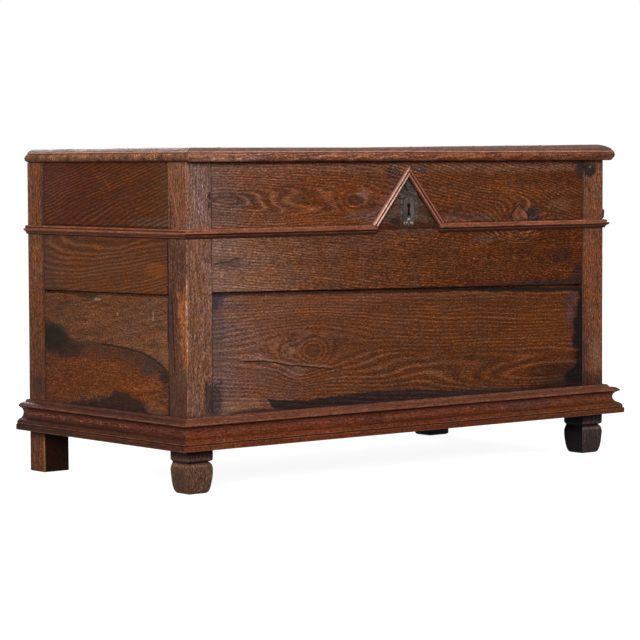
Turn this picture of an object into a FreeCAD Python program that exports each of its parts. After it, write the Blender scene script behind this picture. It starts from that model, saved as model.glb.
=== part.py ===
"""Oak grain ark: a plank chest housed between four corner posts, with a hinged lid and a lid lock.

Millimetres. +X runs to the right along the front, +Y to the back, +Z up. The origin is at floor level, in the middle
of the chest's whole footprint, mouldings and hinge barrels included.
"""

import FreeCAD, Part
import os

from FreeCAD import Vector

# ---- Carcase ----
BODY_WIDTH = 1500.0  # across the outer faces of the posts
BODY_DEPTH = 734.0
CARCASE_HEIGHT = 849.0  # floor to the top of the posts, where the lid lies
POST_WIDTH = 82.0  # along X
POST_DEPTH = 78.0  # along Y
BOARD_THICKNESS = 26.0
BOARD_BOTTOM = 125.0  # lower edge of the lowest wall boards, above the floor

# ---- Joints between boards, and between boards and posts ----
END_TONGUE_THICKNESS = 10.0
END_TONGUE_LENGTH = 15.0
END_GROOVE_SLACK = 1.0
EDGE_TONGUE_THICKNESS = 8.0
EDGE_TONGUE_HEIGHT = 10.0
EDGE_GROOVE_SLACK = 2.0
UPPER_BOARD_HEIGHT = 184.0  # from the top of the carcase to the tight seam that the waist moulding covers
LOWER_SEAM_SHARE = 0.59  # height of the lower seam, as a share of the carcase's
FRONT_SEAM_FALL = 22.0  # how far the lower seam falls from the left end of the front to the right
SIDE_SEAM_FALL = 7.0  # the same from the front end of each side to the back
FRONT_SEAM_GAP = 4.0  # shrinkage gap above the lowest front board
SIDE_SEAM_GAP = 6.0
BACK_SEAM_GAP = 3.0
WORN_CORNER_RADIUS = 13.0  # rounded upper corners of the lowest side boards

# ---- Feet ----
BASE_BOTTOM = 117.0  # underside of the base moulding
FOOT_DEPTH = 78.0  # along Y, for the two carved front feet
FOOT_BLOCK_HEIGHT = 28.0  # plain block between the base moulding and the carved neck
FOOT_NECK_HEIGHT = 82.0
FOOT_NECK_INSET = 9.0
FOOT_BULB_HEIGHT = 64.0  # where the bulb is widest
FOOT_TOE_INSET = 6.5
FOOT_TOE_HEIGHT = 9.0
FOOT_SOLE_INSET = 13.0
REAR_LEG_WIDTH = 82.0
REAR_LEG_DEPTH = 70.0
REAR_LEG_INSET = 0.0  # from the back face
REAR_LEG_ROUNDING = 8.0  # worn lower edges of the right rear leg

# ---- Base moulding ----
BASE_HEIGHT = 82.0
BASE_PROJECTION = 45.0
BASE_BAND_HEIGHT = 14.5
BASE_NOSE_PROJECTION = 36.5
BASE_SCOTIA_PROJECTION = 20.0
BASE_TOP_PROJECTION = 9.0

# ---- Waist moulding and its raised V round the keyhole ----
WAIST_HEIGHT = 24.5
WAIST_PROJECTION = 14.0
WAIST_BELOW_SEAM = 10.5
V_STRIP_WIDTH = 15.0
V_STRIP_PROJECTION = 9.0
V_CENTRE = -3.0  # the V stands a little to the left of the keyhole
V_HALF_WIDTH = 128.0  # from its middle to the foot of the V, at the top of the waist moulding
V_RISE = 154.0  # from the top of the waist moulding to the point of the V
V_STRIP_DROP = 8.0  # how far the strips' inner corners reach below the top of the waist moulding
WAIST_END = 115.0  # from the middle of the V to the ends of the two front strips

# ---- Floor ----
LEDGER_SIDE = 25.0
FLOOR_THICKNESS = 20.0
FLOOR_BOARD_COUNT = 6
FLOOR_NOTCH_CLEARANCE = 1.0

# ---- Lid ----
LID_THICKNESS = 38.0
LID_FRONT_OVERHANG = 26.0
LID_LEFT_OVERHANG = 14.0
LID_RIGHT_OVERHANG = 26.0
LID_SEAMS = (255.0, 545.0)  # from the carcase's front face
LID_NOSE_UNDERCUT = 5.0
LID_NOSE_HEIGHT = 10.0
LID_RIDGE_HEIGHT = 26.0  # arris between the nose and the sloping top margin
LID_RIDGE_SETBACK = 7.0
LID_MARGIN = 50.0  # width of the rounded margin, from the nose to the flat top
BATTEN_WIDTH = 80.0
BATTEN_POST_CLEARANCE = 48.0
BATTEN_THICKNESS = 22.0
BATTEN_END_CLEARANCE = 12.0

# ---- Hinges ----
HINGE_INSET = 320.0  # from the end of the carcase to a hinge's centre line
HINGE_PLATE = 3.0
BARREL_RADIUS = 6.5
BARREL_LENGTH = 60.0
LID_KNUCKLE_LENGTH = 20.0
KNUCKLE_CLEARANCE = 0.25
PIN_RADIUS = 3.0
PIN_CLEARANCE = 0.05
PIN_HEAD_RADIUS = 4.5
PIN_HEAD_HEIGHT = 2.0
STRAP_LENGTH = 300.0  # along the lid, from the carcase's back face
STRAP_WIDTH = 36.0
STRAP_TIP_WIDTH = 22.0
STRAP_SHOULDER = 8.0  # from the back face to where the strap widens
STRAP_POCKET_CLEARANCE = 0.3
LEAF_HEIGHT = 105.0  # from the barrel's axis down

# ---- Nails ----
NAIL_SHANK_RADIUS = 2.0
NAIL_HEAD_RADIUS = 4.5
NAIL_HEAD_HEIGHT = 1.6
FLUSH_HEAD_HEIGHT = 1.2
HINGE_NAIL_LENGTH = 22.0
FLOOR_NAIL_LENGTH = 34.0
LEAF_NAIL_INSET = 18.0
LEAF_NAIL_HEIGHTS = (20.0, 55.0)  # above the lower end of the leaf
STRAP_NAIL_FIRST = 45.0  # from the back face
STRAP_NAIL_LAST_INSET = 20.0
STRAP_NAIL_COUNT = 4
BATTEN_NAIL_INSET = 60.0
BATTEN_NAIL_COUNT = 5

# ---- Keyhole and escutcheon ----
KEYHOLE_BELOW_TOP = 120.0  # from the top of the carcase to the centre of the round head
KEYHOLE_RADIUS = 5.0
KEYHOLE_NECK_WIDTH = 5.0
KEYHOLE_FOOT_WIDTH = 10.0
KEYHOLE_DROP = 27.0  # from the centre of the head to the bottom of the slot
ESCUTCHEON_THICKNESS = 1.5
ESCUTCHEON_HALF_WIDTH = 19.0
ESCUTCHEON_ABOVE = 23.0  # from the keyhole's centre to the top of the plate
ESCUTCHEON_SHOULDER = 8.0  # from the keyhole's centre to where the arched top springs
ESCUTCHEON_BELOW = 49.0  # from the keyhole's centre to the hollows of the scalloped lower edge
LOBE_DROP = 6.0
ESCUTCHEON_NAIL_HEIGHTS = (17.0, -41.0)  # from the keyhole's centre
ESCUTCHEON_NAIL_LENGTH = 18.0

# ---- Lock ----
LOCK_PLATE_HALF_WIDTH = 60.0
LOCK_PLATE_BOTTOM = 54.0  # below the keyhole's centre
LOCK_PLATE_TOP_GAP = 6.0  # below the top of the carcase
LOCK_PLATE_THICKNESS = 2.5
LOCK_CASE_HALF_WIDTH = 36.0
LOCK_CASE_DEPTH = 24.0
LOCK_CASE_WALL = 2.0
LOCK_CASE_BOTTOM = 34.0  # below the keyhole's centre
LOCK_CASE_TOP_INSET = 2.0  # below the top of the lock plate
LOCK_FLANGE_WIDTH = 10.0
LOCK_FLANGE_RANGE = (-9.0, 81.0)  # heights from the keyhole's centre
LOCK_RIVET_HEIGHTS = (6.0, 66.0)
LOCK_RIVET_RADIUS = 2.0
LOCK_RIVET_HEAD_RADIUS = 3.5
LOCK_RIVET_HEAD_HEIGHT = 1.2
LOCK_NAIL_OFFSET = 47.0
LOCK_NAIL_HEIGHT = 99.0  # above the keyhole's centre
LOCK_NAIL_LENGTH = 28.5  # through the board and the lock plate
BOLT_HEIGHT = 8.0
BOLT_THICKNESS = 6.0
BOLT_LENGTH = 28.0
BOLT_THROW = 12.0
BOLT_CENTRE_BELOW_TOP = 27.0  # from the top of the carcase to the bolt's centre line
BOLT_STAPLE_GAP = 2.5
BOLT_STAND_OFF = 7.5  # from the lock plate
BOLT_TAIL_WIDTH = 9.0
BOLT_FOOT_HEIGHT = 10.0
BOLT_FOOT_ABOVE_KEY = 17.0  # from the keyhole's centre to the underside of the bolt's foot
BOLT_FOOT_REACH = 38.0
TALON_WIDTH = 9.0
TALON_DEPTH = 5.0
GUIDE_LENGTH = 6.0
GUIDE_WALL = 4.0
GUIDE_CLEARANCE = 0.3
KEY_PIN_RADIUS = 2.0
KEY_PIN_START = 2.5  # from the lock plate to the pin's free end
SPRING_THICKNESS = 1.0
SPRING_WIDTH = 5.0
SPRING_RISE = 34.0
SPRING_ANCHOR = 24.0  # from the middle to the spring's fixed end
SPRING_TIP = -4.0
SPRING_BOW = 9.0
SPRING_LIFT = 0.3  # from the spring's tip to the bolt's foot
STAPLE_THICKNESS = 5.0
STAPLE_DEPTH = 16.0
STAPLE_BELOW_EYE = 5.0
STAPLE_EYE_CLEARANCE = 2.0
STAPLE_PLATE_THICKNESS = 2.5
STAPLE_PLATE_LENGTH = 64.0
STAPLE_PLATE_WIDTH = 22.0
STAPLE_NAIL_OFFSET = 22.0
STAPLE_SLOT_CLEARANCE = 3.0

# ---- Places worked out from the sizes above ----
BACK_STAND_OFF = 2.0 * BARREL_RADIUS  # the hinge barrels stand behind the back face
FRONT_Y = BASE_PROJECTION - (BASE_PROJECTION + BODY_DEPTH + BACK_STAND_OFF) / 2.0
BACK_Y = FRONT_Y + BODY_DEPTH
LEFT_X = -BODY_WIDTH / 2.0
RIGHT_X = BODY_WIDTH / 2.0
INNER_FRONT_Y = FRONT_Y + BOARD_THICKNESS
INNER_BACK_Y = BACK_Y - BOARD_THICKNESS
LID_TOP = CARCASE_HEIGHT + LID_THICKNESS
UPPER_SEAM = CARCASE_HEIGHT - UPPER_BOARD_HEIGHT
LOWER_SEAM = CARCASE_HEIGHT * LOWER_SEAM_SHARE
FRONT_LOWER_SEAM = (LOWER_SEAM + FRONT_SEAM_FALL / 2.0, LOWER_SEAM - FRONT_SEAM_FALL / 2.0)
SIDE_LOWER_SEAM = (LOWER_SEAM + SIDE_SEAM_FALL, LOWER_SEAM)
BACK_LOWER_SEAM = (LOWER_SEAM, LOWER_SEAM)
KEYHOLE_HEIGHT = CARCASE_HEIGHT - KEYHOLE_BELOW_TOP
BATTEN_X = RIGHT_X - POST_WIDTH - BATTEN_POST_CLEARANCE - BATTEN_WIDTH / 2.0
HINGE_X = RIGHT_X - HINGE_INSET
WAIST_BOTTOM = UPPER_SEAM - WAIST_BELOW_SEAM
WAIST_TOP = WAIST_BOTTOM + WAIST_HEIGHT
FLOOR_UNDERSIDE = BOARD_BOTTOM + LEDGER_SIDE
FLOOR_TOP = FLOOR_UNDERSIDE + FLOOR_THICKNESS
HINGE_AXIS_Y = BACK_Y + BARREL_RADIUS
HINGE_AXIS_Z = CARCASE_HEIGHT + HINGE_PLATE - BARREL_RADIUS
LOCK_PLATE_BACK_Y = INNER_FRONT_Y + LOCK_PLATE_THICKNESS
LOCK_TOP = CARCASE_HEIGHT - LOCK_PLATE_TOP_GAP
BOLT_FRONT_Y = LOCK_PLATE_BACK_Y + BOLT_STAND_OFF
BOLT_END_X = -STAPLE_THICKNESS / 2.0 - BOLT_STAPLE_GAP
BOLT_Z = CARCASE_HEIGHT - BOLT_CENTRE_BELOW_TOP


def box(x0, x1, y0, y1, z0, z1):
    """Solid box between two corners."""
    return Part.makeBox(x1 - x0, y1 - y0, z1 - z0, Vector(x0, y0, z0))


def rod(radius, start, end):
    """Solid cylinder between two points."""
    axis = end - start
    return Part.makeCylinder(radius, axis.Length, start, axis)


def outline_face(start, steps, place):
    """Face inside a closed outline. A step is (end,) for a line or (middle, end) for an arc; place maps to 3-D."""
    edges = []
    here = start
    for step in steps + [(start,)]:
        end = step[-1]
        if end == here:
            continue
        if len(step) == 1:
            edges.append(Part.makeLine(place(*here), place(*end)))
        else:
            edges.append(Part.Arc(place(*here), place(*step[0]), place(*end)).toShape())
        here = end
    return Part.Face(Part.Wire(edges))


def polygon_prism(points, sweep):
    """Prism over a flat polygon."""
    return Part.Face(Part.makePolygon(points + points[:1])).extrude(sweep)


def plan_prism(points, z0, z1):
    """Upright prism over a polygon of (x, y) points."""
    return polygon_prism([Vector(x, y, z0) for x, y in points], Vector(0, 0, z1 - z0))


def elevation_prism(points, y0, y1):
    """Prism from y0 to y1 over a polygon of (x, z) points."""
    return polygon_prism([Vector(x, y0, z) for x, z in points], Vector(0, y1 - y0, 0))


def fused(shapes):
    """One clean solid out of overlapping or touching ones."""
    whole = shapes[0]
    for shape in shapes[1:]:
        whole = whole.fuse(shape)
    return whole.removeSplitter()


def spread(count, first, last):
    """Evenly spaced places from first to last."""
    return [first + (last - first) * i / (count - 1) for i in range(count)]


class Wall:
    """One side of the carcase. u runs along it between the posts, v from its outer face inwards, z up."""

    def __init__(self, origin, along, inwards, length, lower_seam, seam_gap, worn=0.0):
        self.origin = origin
        self.along = along
        self.inwards = inwards
        self.length = length
        self.lower_seam = lower_seam
        self.seam_gap = seam_gap
        self.worn = worn

    def place(self, u, v, z):
        return self.origin + self.along * u + self.inwards * v + Vector(0, 0, z)

    def prism(self, outline, v0, v1):
        points = [self.place(u, v0, z) for u, z in outline]
        return polygon_prism(points, self.inwards * (v1 - v0))

    def seam(self, u, rise=0.0):
        """Height of the lower seam at u, or of a line that stays rise above it."""
        low, high = self.lower_seam
        return low + (high - low) * u / self.length + rise

    def strip(self, u0, u1, v0, v1, bottom, top):
        """Prism from u0 to u1 whose lower and upper edges are given as functions of u."""
        return self.prism([(u0, bottom(u0)), (u1, bottom(u1)), (u1, top(u1)), (u0, top(u0))], v0, v1)

    def board(self, bottom, top, tongue_height, groove_depth):
        """One board: full thickness between the posts, end tongues, a tongue above and a groove below."""
        ends = (BOARD_THICKNESS - END_TONGUE_THICKNESS) / 2.0
        edge = (BOARD_THICKNESS - EDGE_TONGUE_THICKNESS) / 2.0
        shapes = [
            self.strip(0, self.length, 0, BOARD_THICKNESS, bottom, top),
            self.strip(-END_TONGUE_LENGTH, self.length + END_TONGUE_LENGTH,
                       ends, BOARD_THICKNESS - ends, bottom, top),
        ]
        if tongue_height:
            shapes.append(self.strip(0, self.length, edge, BOARD_THICKNESS - edge, top,
                                     lambda u: top(u) + tongue_height))
        board = fused(shapes)
        if groove_depth:
            board = board.cut(self.strip(0, self.length, edge, BOARD_THICKNESS - edge, bottom,
                                         lambda u: bottom(u) + groove_depth))
        return board

    def worn_corner(self, u, inward):
        """What wear has taken off an upper corner of the lowest board, at u; inward is 1 or -1 along u."""
        r = self.worn
        top = self.seam(u)
        end = u + inward * r
        face = outline_face(
            (u, top - r), [((u + inward * 0.293 * r, top - 0.293 * r), (end, top)), ((end, top + 1.0),),
                           ((u, top + 1.0),)],
            lambda a, z: self.place(a, 0, z))
        return face.extrude(self.inwards * ((BOARD_THICKNESS - END_TONGUE_THICKNESS) / 2.0))

    def boards(self):
        """The lowest, middle and top boards."""
        groove = EDGE_TONGUE_HEIGHT + EDGE_GROOVE_SLACK
        lowest = self.board(lambda u: BOARD_BOTTOM, self.seam, self.seam_gap + EDGE_TONGUE_HEIGHT, 0)
        if self.worn:
            lowest = lowest.cut(self.worn_corner(0, 1)).cut(self.worn_corner(self.length, -1))
        middle = self.board(lambda u: self.seam(u, self.seam_gap), lambda u: UPPER_SEAM,
                            EDGE_TONGUE_HEIGHT, groove)
        top = self.board(lambda u: UPPER_SEAM, lambda u: CARCASE_HEIGHT, 0, groove)
        return lowest, middle, top

    def grooves(self):
        """The two upright grooves in the posts that take this wall's end tongues."""
        ends = (BOARD_THICKNESS - END_TONGUE_THICKNESS) / 2.0
        depth = END_TONGUE_LENGTH + END_GROOVE_SLACK
        level = lambda height: lambda u: height
        return [self.strip(u0, u0 + depth, ends, BOARD_THICKNESS - ends, level(BOARD_BOTTOM), level(CARCASE_HEIGHT))
                for u0 in (-depth, self.length)]


FRONT_LENGTH = BODY_WIDTH - 2.0 * POST_WIDTH
SIDE_LENGTH = BODY_DEPTH - 2.0 * POST_DEPTH
WALLS = {
    "front": Wall(Vector(LEFT_X + POST_WIDTH, FRONT_Y, 0), Vector(1, 0, 0), Vector(0, 1, 0),
                  FRONT_LENGTH, FRONT_LOWER_SEAM, FRONT_SEAM_GAP),
    "back": Wall(Vector(LEFT_X + POST_WIDTH, BACK_Y, 0), Vector(1, 0, 0), Vector(0, -1, 0),
                 FRONT_LENGTH, BACK_LOWER_SEAM, BACK_SEAM_GAP),
    "left": Wall(Vector(LEFT_X, FRONT_Y + POST_DEPTH, 0), Vector(0, 1, 0), Vector(1, 0, 0),
                 SIDE_LENGTH, SIDE_LOWER_SEAM, SIDE_SEAM_GAP, WORN_CORNER_RADIUS),
    "right": Wall(Vector(RIGHT_X, FRONT_Y + POST_DEPTH, 0), Vector(0, 1, 0), Vector(-1, 0, 0),
                  SIDE_LENGTH, SIDE_LOWER_SEAM, SIDE_SEAM_GAP, WORN_CORNER_RADIUS),
}


def carved_outline(low, high, place):
    """Elevation of a carved foot between low and high: block, neck, bulb and sole."""
    block_bottom = BASE_BOTTOM - FOOT_BLOCK_HEIGHT
    middle_of_toe = (FOOT_BULB_HEIGHT + FOOT_TOE_HEIGHT) / 2.0
    bulge = FOOT_TOE_INSET * 0.3

    def flank(edge, side):
        """Points down one flank; side is 1 where the foot lies towards lower values."""
        at = lambda inset, z: (edge - side * inset, z)
        return {
            "top": at(0, BASE_BOTTOM),
            "block": at(0, block_bottom),
            "block_round": at(FOOT_NECK_INSET * 0.25, block_bottom - (block_bottom - FOOT_NECK_HEIGHT) * 0.75),
            "neck": at(FOOT_NECK_INSET, FOOT_NECK_HEIGHT),
            "bulb_round": at(FOOT_NECK_INSET * 0.25, FOOT_NECK_HEIGHT - (FOOT_NECK_HEIGHT - FOOT_BULB_HEIGHT) * 0.4),
            "bulb": at(0, FOOT_BULB_HEIGHT),
            "taper": at(bulge, middle_of_toe),
            "toe": at(FOOT_TOE_INSET, FOOT_TOE_HEIGHT),
            "sole": at(FOOT_SOLE_INSET, 0),
        }

    far = flank(high, 1)
    near = flank(low, -1)
    steps = [
        (far["sole"],), (far["toe"],), (far["taper"], far["bulb"]), (far["bulb_round"], far["neck"]),
        (far["block_round"], far["block"]), (far["top"],), (near["top"],), (near["block"],),
        (near["block_round"], near["neck"]), (near["bulb_round"], near["bulb"]), (near["taper"], near["toe"]),
    ]
    return outline_face(near["sole"], steps, place)


def carved_foot(x0, x1, y0, y1):
    """Foot carved alike on all four faces."""
    across = carved_outline(x0, x1, lambda x, z: Vector(x, y0, z)).extrude(Vector(0, y1 - y0, 0))
    along = carved_outline(y0, y1, lambda y, z: Vector(x0, y, z)).extrude(Vector(x1 - x0, 0, 0))
    return across.common(along)


def rounded_leg(x0, x1, y0, y1):
    """Plain leg whose lower edges are worn round."""
    leg = box(x0, x1, y0, y1, 0, BASE_BOTTOM)
    sole = [edge for edge in leg.Edges if edge.BoundBox.ZMax < 1e-6]
    return leg.makeFillet(REAR_LEG_ROUNDING, sole)


def post(x0, y0, foot):
    """Corner post with its foot, grooved for the boards of the two walls that it joins."""
    shaft = box(x0, x0 + POST_WIDTH, y0, y0 + POST_DEPTH, BASE_BOTTOM, CARCASE_HEIGHT)
    solid = fused([shaft, foot])
    for wall in WALLS.values():
        for groove in wall.grooves():
            if groove.BoundBox.intersect(solid.BoundBox):
                solid = solid.cut(groove)
    return solid


def posts():
    """The four corner posts."""
    right = RIGHT_X - POST_WIDTH
    back = BACK_Y - POST_DEPTH
    leg_back = BACK_Y - REAR_LEG_INSET
    leg_front = leg_back - REAR_LEG_DEPTH
    return {
        "front_left_post": post(LEFT_X, FRONT_Y, carved_foot(
            LEFT_X, LEFT_X + POST_WIDTH, FRONT_Y, FRONT_Y + FOOT_DEPTH)),
        "front_right_post": post(right, FRONT_Y, carved_foot(right, RIGHT_X, FRONT_Y, FRONT_Y + FOOT_DEPTH)),
        "rear_left_post": post(LEFT_X, back, box(
            LEFT_X, LEFT_X + REAR_LEG_WIDTH, leg_front, leg_back, 0, BASE_BOTTOM)),
        "rear_right_post": post(right, back, rounded_leg(
            RIGHT_X - REAR_LEG_WIDTH, RIGHT_X, leg_front, leg_back)),
    }


def wall_boards():
    """Twelve boards: the lowest, middle and top one of each wall."""
    nodes = {}
    for name, wall in WALLS.items():
        for level, board in zip(("lower", "middle", "upper"), wall.boards()):
            nodes[f"{name}_{level}_board"] = board
    return nodes


def base_outline(place):
    """Base moulding: flat band, quirk, ovolo, scotia, beaked nose and stepped top, from its underside up."""
    quirk = BASE_PROJECTION - 3.5
    lip = BASE_SCOTIA_PROJECTION + 13.5
    nose = BASE_NOSE_PROJECTION
    ledge = BASE_TOP_PROJECTION + 4.5
    band = BASE_BAND_HEIGHT
    top = BASE_HEIGHT
    steps = [
        ((BASE_PROJECTION, 0),),
        ((BASE_PROJECTION, band),),
        ((quirk, band + 1.0),),
        ((quirk, band + 3.0),),
        ((quirk - 1.2, band + 9.5), (lip + 1.5, band + 14.0)),
        ((lip, top - 52.0),),
        ((BASE_SCOTIA_PROJECTION, top - 36.0), (lip - 1.5, top - 20.5)),
        ((nose - 2.5, top - 19.5),),
        ((nose, top - 17.0), (nose - 2.0, top - 14.0)),
        ((nose - 7.5, top - 9.5), (ledge + 8.0, top - 7.0)),
        ((ledge, top - 6.5),),
        ((ledge - 1.5, top - 2.5), (BASE_TOP_PROJECTION, top - 0.5)),
        ((BASE_TOP_PROJECTION, top),),
        ((0, top),),
    ]
    return outline_face((0, 0), steps, place)


def waist_outline(place):
    """Waist moulding: cove, pointed nose, quirk and bead, from its underside up."""
    nose = WAIST_PROJECTION
    top = WAIST_HEIGHT
    steps = [
        ((nose * 0.3, 0),),
        ((nose * 0.45, top * 0.22), (nose * 0.86, top * 0.4)),
        ((nose, top * 0.54), (nose * 0.86, top * 0.66)),
        ((nose * 0.6, top * 0.7),),
        ((nose * 0.6, top * 0.76),),
        ((nose * 0.57, top * 0.93), (nose * 0.3, top),),
        ((0, top),),
    ]
    return outline_face((0, 0), steps, place)


def moulding_runs(outline, bottom, projection, prefix):
    """A moulding round the front and both sides, mitred at the front corners and square at the back."""
    reach = projection + 1.0
    top = bottom + max(BASE_HEIGHT, WAIST_HEIGHT)
    front_face = outline(lambda t, h: Vector(LEFT_X - reach, FRONT_Y - t, bottom + h))
    front = front_face.extrude(Vector(BODY_WIDTH + 2.0 * reach, 0, 0))
    front = front.common(plan_prism(
        [(LEFT_X - reach, FRONT_Y - reach), (RIGHT_X + reach, FRONT_Y - reach),
         (RIGHT_X, FRONT_Y), (LEFT_X, FRONT_Y)], bottom, top))
    runs = {f"{prefix}_front": front}
    for side, x, out in (("left", LEFT_X, -1.0), ("right", RIGHT_X, 1.0)):
        face = outline(lambda t, h: Vector(x + out * t, FRONT_Y - reach, bottom + h))
        run = face.extrude(Vector(0, BODY_DEPTH + reach, 0))
        runs[f"{prefix}_{side}"] = run.common(plan_prism(
            [(x + out * reach, FRONT_Y - reach), (x, FRONT_Y), (x, BACK_Y), (x + out * reach, BACK_Y)],
            bottom, top))
    return runs


def v_strip(side):
    """One slanting strip of the raised V, two rounds beside a groove; side is -1 for the left one."""
    run = Vector(-side * V_HALF_WIDTH, 0, V_RISE)
    along = Vector(run).normalize()
    inwards = Vector(-side * along.z, 0, side * along.x)
    start = Vector(V_CENTRE + side * V_HALF_WIDTH, FRONT_Y, WAIST_TOP)
    width = V_STRIP_WIDTH
    high = V_STRIP_PROJECTION
    spring = high - 0.18 * width
    below = along * (-2.0 * width)
    face = outline_face(
        (0, 0),
        [((0, spring),), ((width * 0.2, high), (width * 0.4, spring)), ((width * 0.5, high * 0.35),),
         ((width * 0.6, spring),), ((width * 0.8, high), (width, spring)), ((width, 0),)],
        lambda s, t: start + below + inwards * s + Vector(0, -t, 0))
    strip = face.extrude(along * (run.Length + 4.0 * width))
    reach = 2.0 * V_HALF_WIDTH
    point = WAIST_TOP + V_RISE
    above_waist = elevation_prism(
        [(side * reach, WAIST_TOP), (V_CENTRE + side * WAIST_END, WAIST_TOP),
         (V_CENTRE + side * WAIST_END, WAIST_TOP - V_STRIP_DROP), (0, WAIST_TOP - V_STRIP_DROP), (-side * reach, WAIST_TOP - V_STRIP_DROP), (-side * reach, point),
         (side * reach, point)], FRONT_Y - high, FRONT_Y)
    return strip.common(above_waist)


def waist_mouldings():
    """The waist moulding's side runs, its front run split at the V, and the V's two strips."""
    runs = moulding_runs(waist_outline, WAIST_BOTTOM, WAIST_PROJECTION, "waist_moulding")
    front = runs.pop("waist_moulding_front")
    reach = BODY_WIDTH
    depth = WAIST_PROJECTION + 1.0
    for side, name in ((-1, "front_left"), (1, "front_right")):
        ends = sorted((V_CENTRE + side * WAIST_END, side * reach))
        runs[f"waist_moulding_{name}"] = front.common(
            box(ends[0], ends[1], FRONT_Y - depth, FRONT_Y, WAIST_BOTTOM, WAIST_TOP))
    left = v_strip(-1)
    runs["keyhole_v_left_strip"] = left
    runs["keyhole_v_right_strip"] = keep_largest(v_strip(1).cut(past_strip(-1)))
    return runs


def past_strip(side):
    """Everything on the far side of a V strip's outer line, and the strip itself."""
    run = Vector(-side * V_HALF_WIDTH, 0, V_RISE)
    along = Vector(run).normalize()
    inwards = Vector(-side * along.z, 0, side * along.x) * V_STRIP_WIDTH
    low = Vector(V_CENTRE + side * V_HALF_WIDTH, FRONT_Y - V_STRIP_PROJECTION, WAIST_TOP) + inwards - run
    high = low + run * 3.0
    out = Vector(side * BODY_WIDTH, 0, 0)
    return polygon_prism([low, high, high + out, low + out], Vector(0, V_STRIP_PROJECTION, 0))


def keep_largest(shape):
    """The largest solid of a shape, without the offcuts."""
    return max(shape.Solids, key=lambda solid: solid.Volume)


def floor_boards():
    """Ledgers along the front and back, and floor boards that lie on them from front to back."""
    x0 = LEFT_X + BOARD_THICKNESS
    x1 = RIGHT_X - BOARD_THICKNESS
    inner = LEFT_X + POST_WIDTH
    nodes = {
        "front_floor_ledger": box(inner, -inner, INNER_FRONT_Y, INNER_FRONT_Y + LEDGER_SIDE,
                                  BOARD_BOTTOM, FLOOR_UNDERSIDE),
        "back_floor_ledger": box(inner, -inner, INNER_BACK_Y - LEDGER_SIDE, INNER_BACK_Y,
                                 BOARD_BOTTOM, FLOOR_UNDERSIDE),
    }
    edges = spread(FLOOR_BOARD_COUNT + 1, x0, x1)
    width = POST_WIDTH + FLOOR_NOTCH_CLEARANCE
    depth = POST_DEPTH + FLOOR_NOTCH_CLEARANCE
    corners = [
        box(xa, xa + width, ya, ya + depth, FLOOR_UNDERSIDE, FLOOR_TOP)
        for xa in (LEFT_X, RIGHT_X - width) for ya in (FRONT_Y, BACK_Y - depth)
    ]
    for number, (xa, xb) in enumerate(zip(edges, edges[1:]), start=1):
        board = box(xa, xb, INNER_FRONT_Y, INNER_BACK_Y, FLOOR_UNDERSIDE, FLOOR_TOP)
        for corner in corners:
            if corner.BoundBox.intersect(board.BoundBox):
                board = board.cut(corner)
        nodes[f"floor_board_{number}"] = board
    return nodes


def nail(point, inwards, length, head_height=NAIL_HEAD_HEIGHT, head_radius=NAIL_HEAD_RADIUS):
    """Forged nail with a low domed head. point is on the surface that the head lies on."""
    ring = point - inwards * (head_height * 0.4)
    head = Part.makeCone(head_radius, head_radius * 0.55, head_height * 0.6, ring, inwards * -1.0)
    return fused([rod(head_radius, ring, point), head, rod(NAIL_SHANK_RADIUS, point, point + inwards * length)])


def flush_nail(point, inwards, length):
    """Nail whose flat head is driven level with the surface at point."""
    seat = point + inwards * FLUSH_HEAD_HEIGHT
    return fused([rod(NAIL_HEAD_RADIUS, point, seat), rod(NAIL_SHANK_RADIUS, seat, point + inwards * length)])


def drilled(nodes, names, nails):
    """Makes room for nails in the named nodes."""
    for name in names:
        for one in nails:
            if one.BoundBox.intersect(nodes[name].BoundBox):
                nodes[name] = nodes[name].cut(one)


def floor_nails():
    """One nail through each end of each floor board, into the ledgers."""
    edges = spread(FLOOR_BOARD_COUNT + 1, LEFT_X + BOARD_THICKNESS, RIGHT_X - BOARD_THICKNESS)
    rows = (INNER_FRONT_Y + LEDGER_SIDE / 2.0, INNER_BACK_Y - LEDGER_SIDE / 2.0)
    inner = POST_WIDTH - BOARD_THICKNESS
    nails = []
    for xa, xb in zip(edges, edges[1:]):
        clear_left = xa + (inner if xa == edges[0] else 0)
        clear_right = xb - (inner if xb == edges[-1] else 0)
        for y in rows:
            top = Vector((clear_left + clear_right) / 2.0, y, FLOOR_TOP)
            nails.append(flush_nail(top, Vector(0, 0, -1), FLOOR_NAIL_LENGTH))
    return nails


def lid_edge(inner, place, overhang):
    """Section of the lid from inner to its moulded edge; place maps (distance out, height over the underside)."""
    steps = [
        ((overhang - LID_NOSE_UNDERCUT, 0),),
        ((overhang - LID_NOSE_UNDERCUT * 0.25, LID_NOSE_HEIGHT * 0.4), (overhang, LID_NOSE_HEIGHT)),
        ((overhang - LID_RIDGE_SETBACK * 0.28, (LID_NOSE_HEIGHT + LID_RIDGE_HEIGHT) / 2.0 + 2.0),
         (overhang - LID_RIDGE_SETBACK, LID_RIDGE_HEIGHT)),
        ((overhang - LID_RIDGE_SETBACK - (LID_MARGIN - LID_RIDGE_SETBACK) * 0.4,
          LID_RIDGE_HEIGHT + (LID_THICKNESS - LID_RIDGE_HEIGHT) * 0.68),
         (overhang - LID_MARGIN, LID_THICKNESS)),
        ((inner, LID_THICKNESS),),
    ]
    return outline_face((inner, 0), steps, place)


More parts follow.
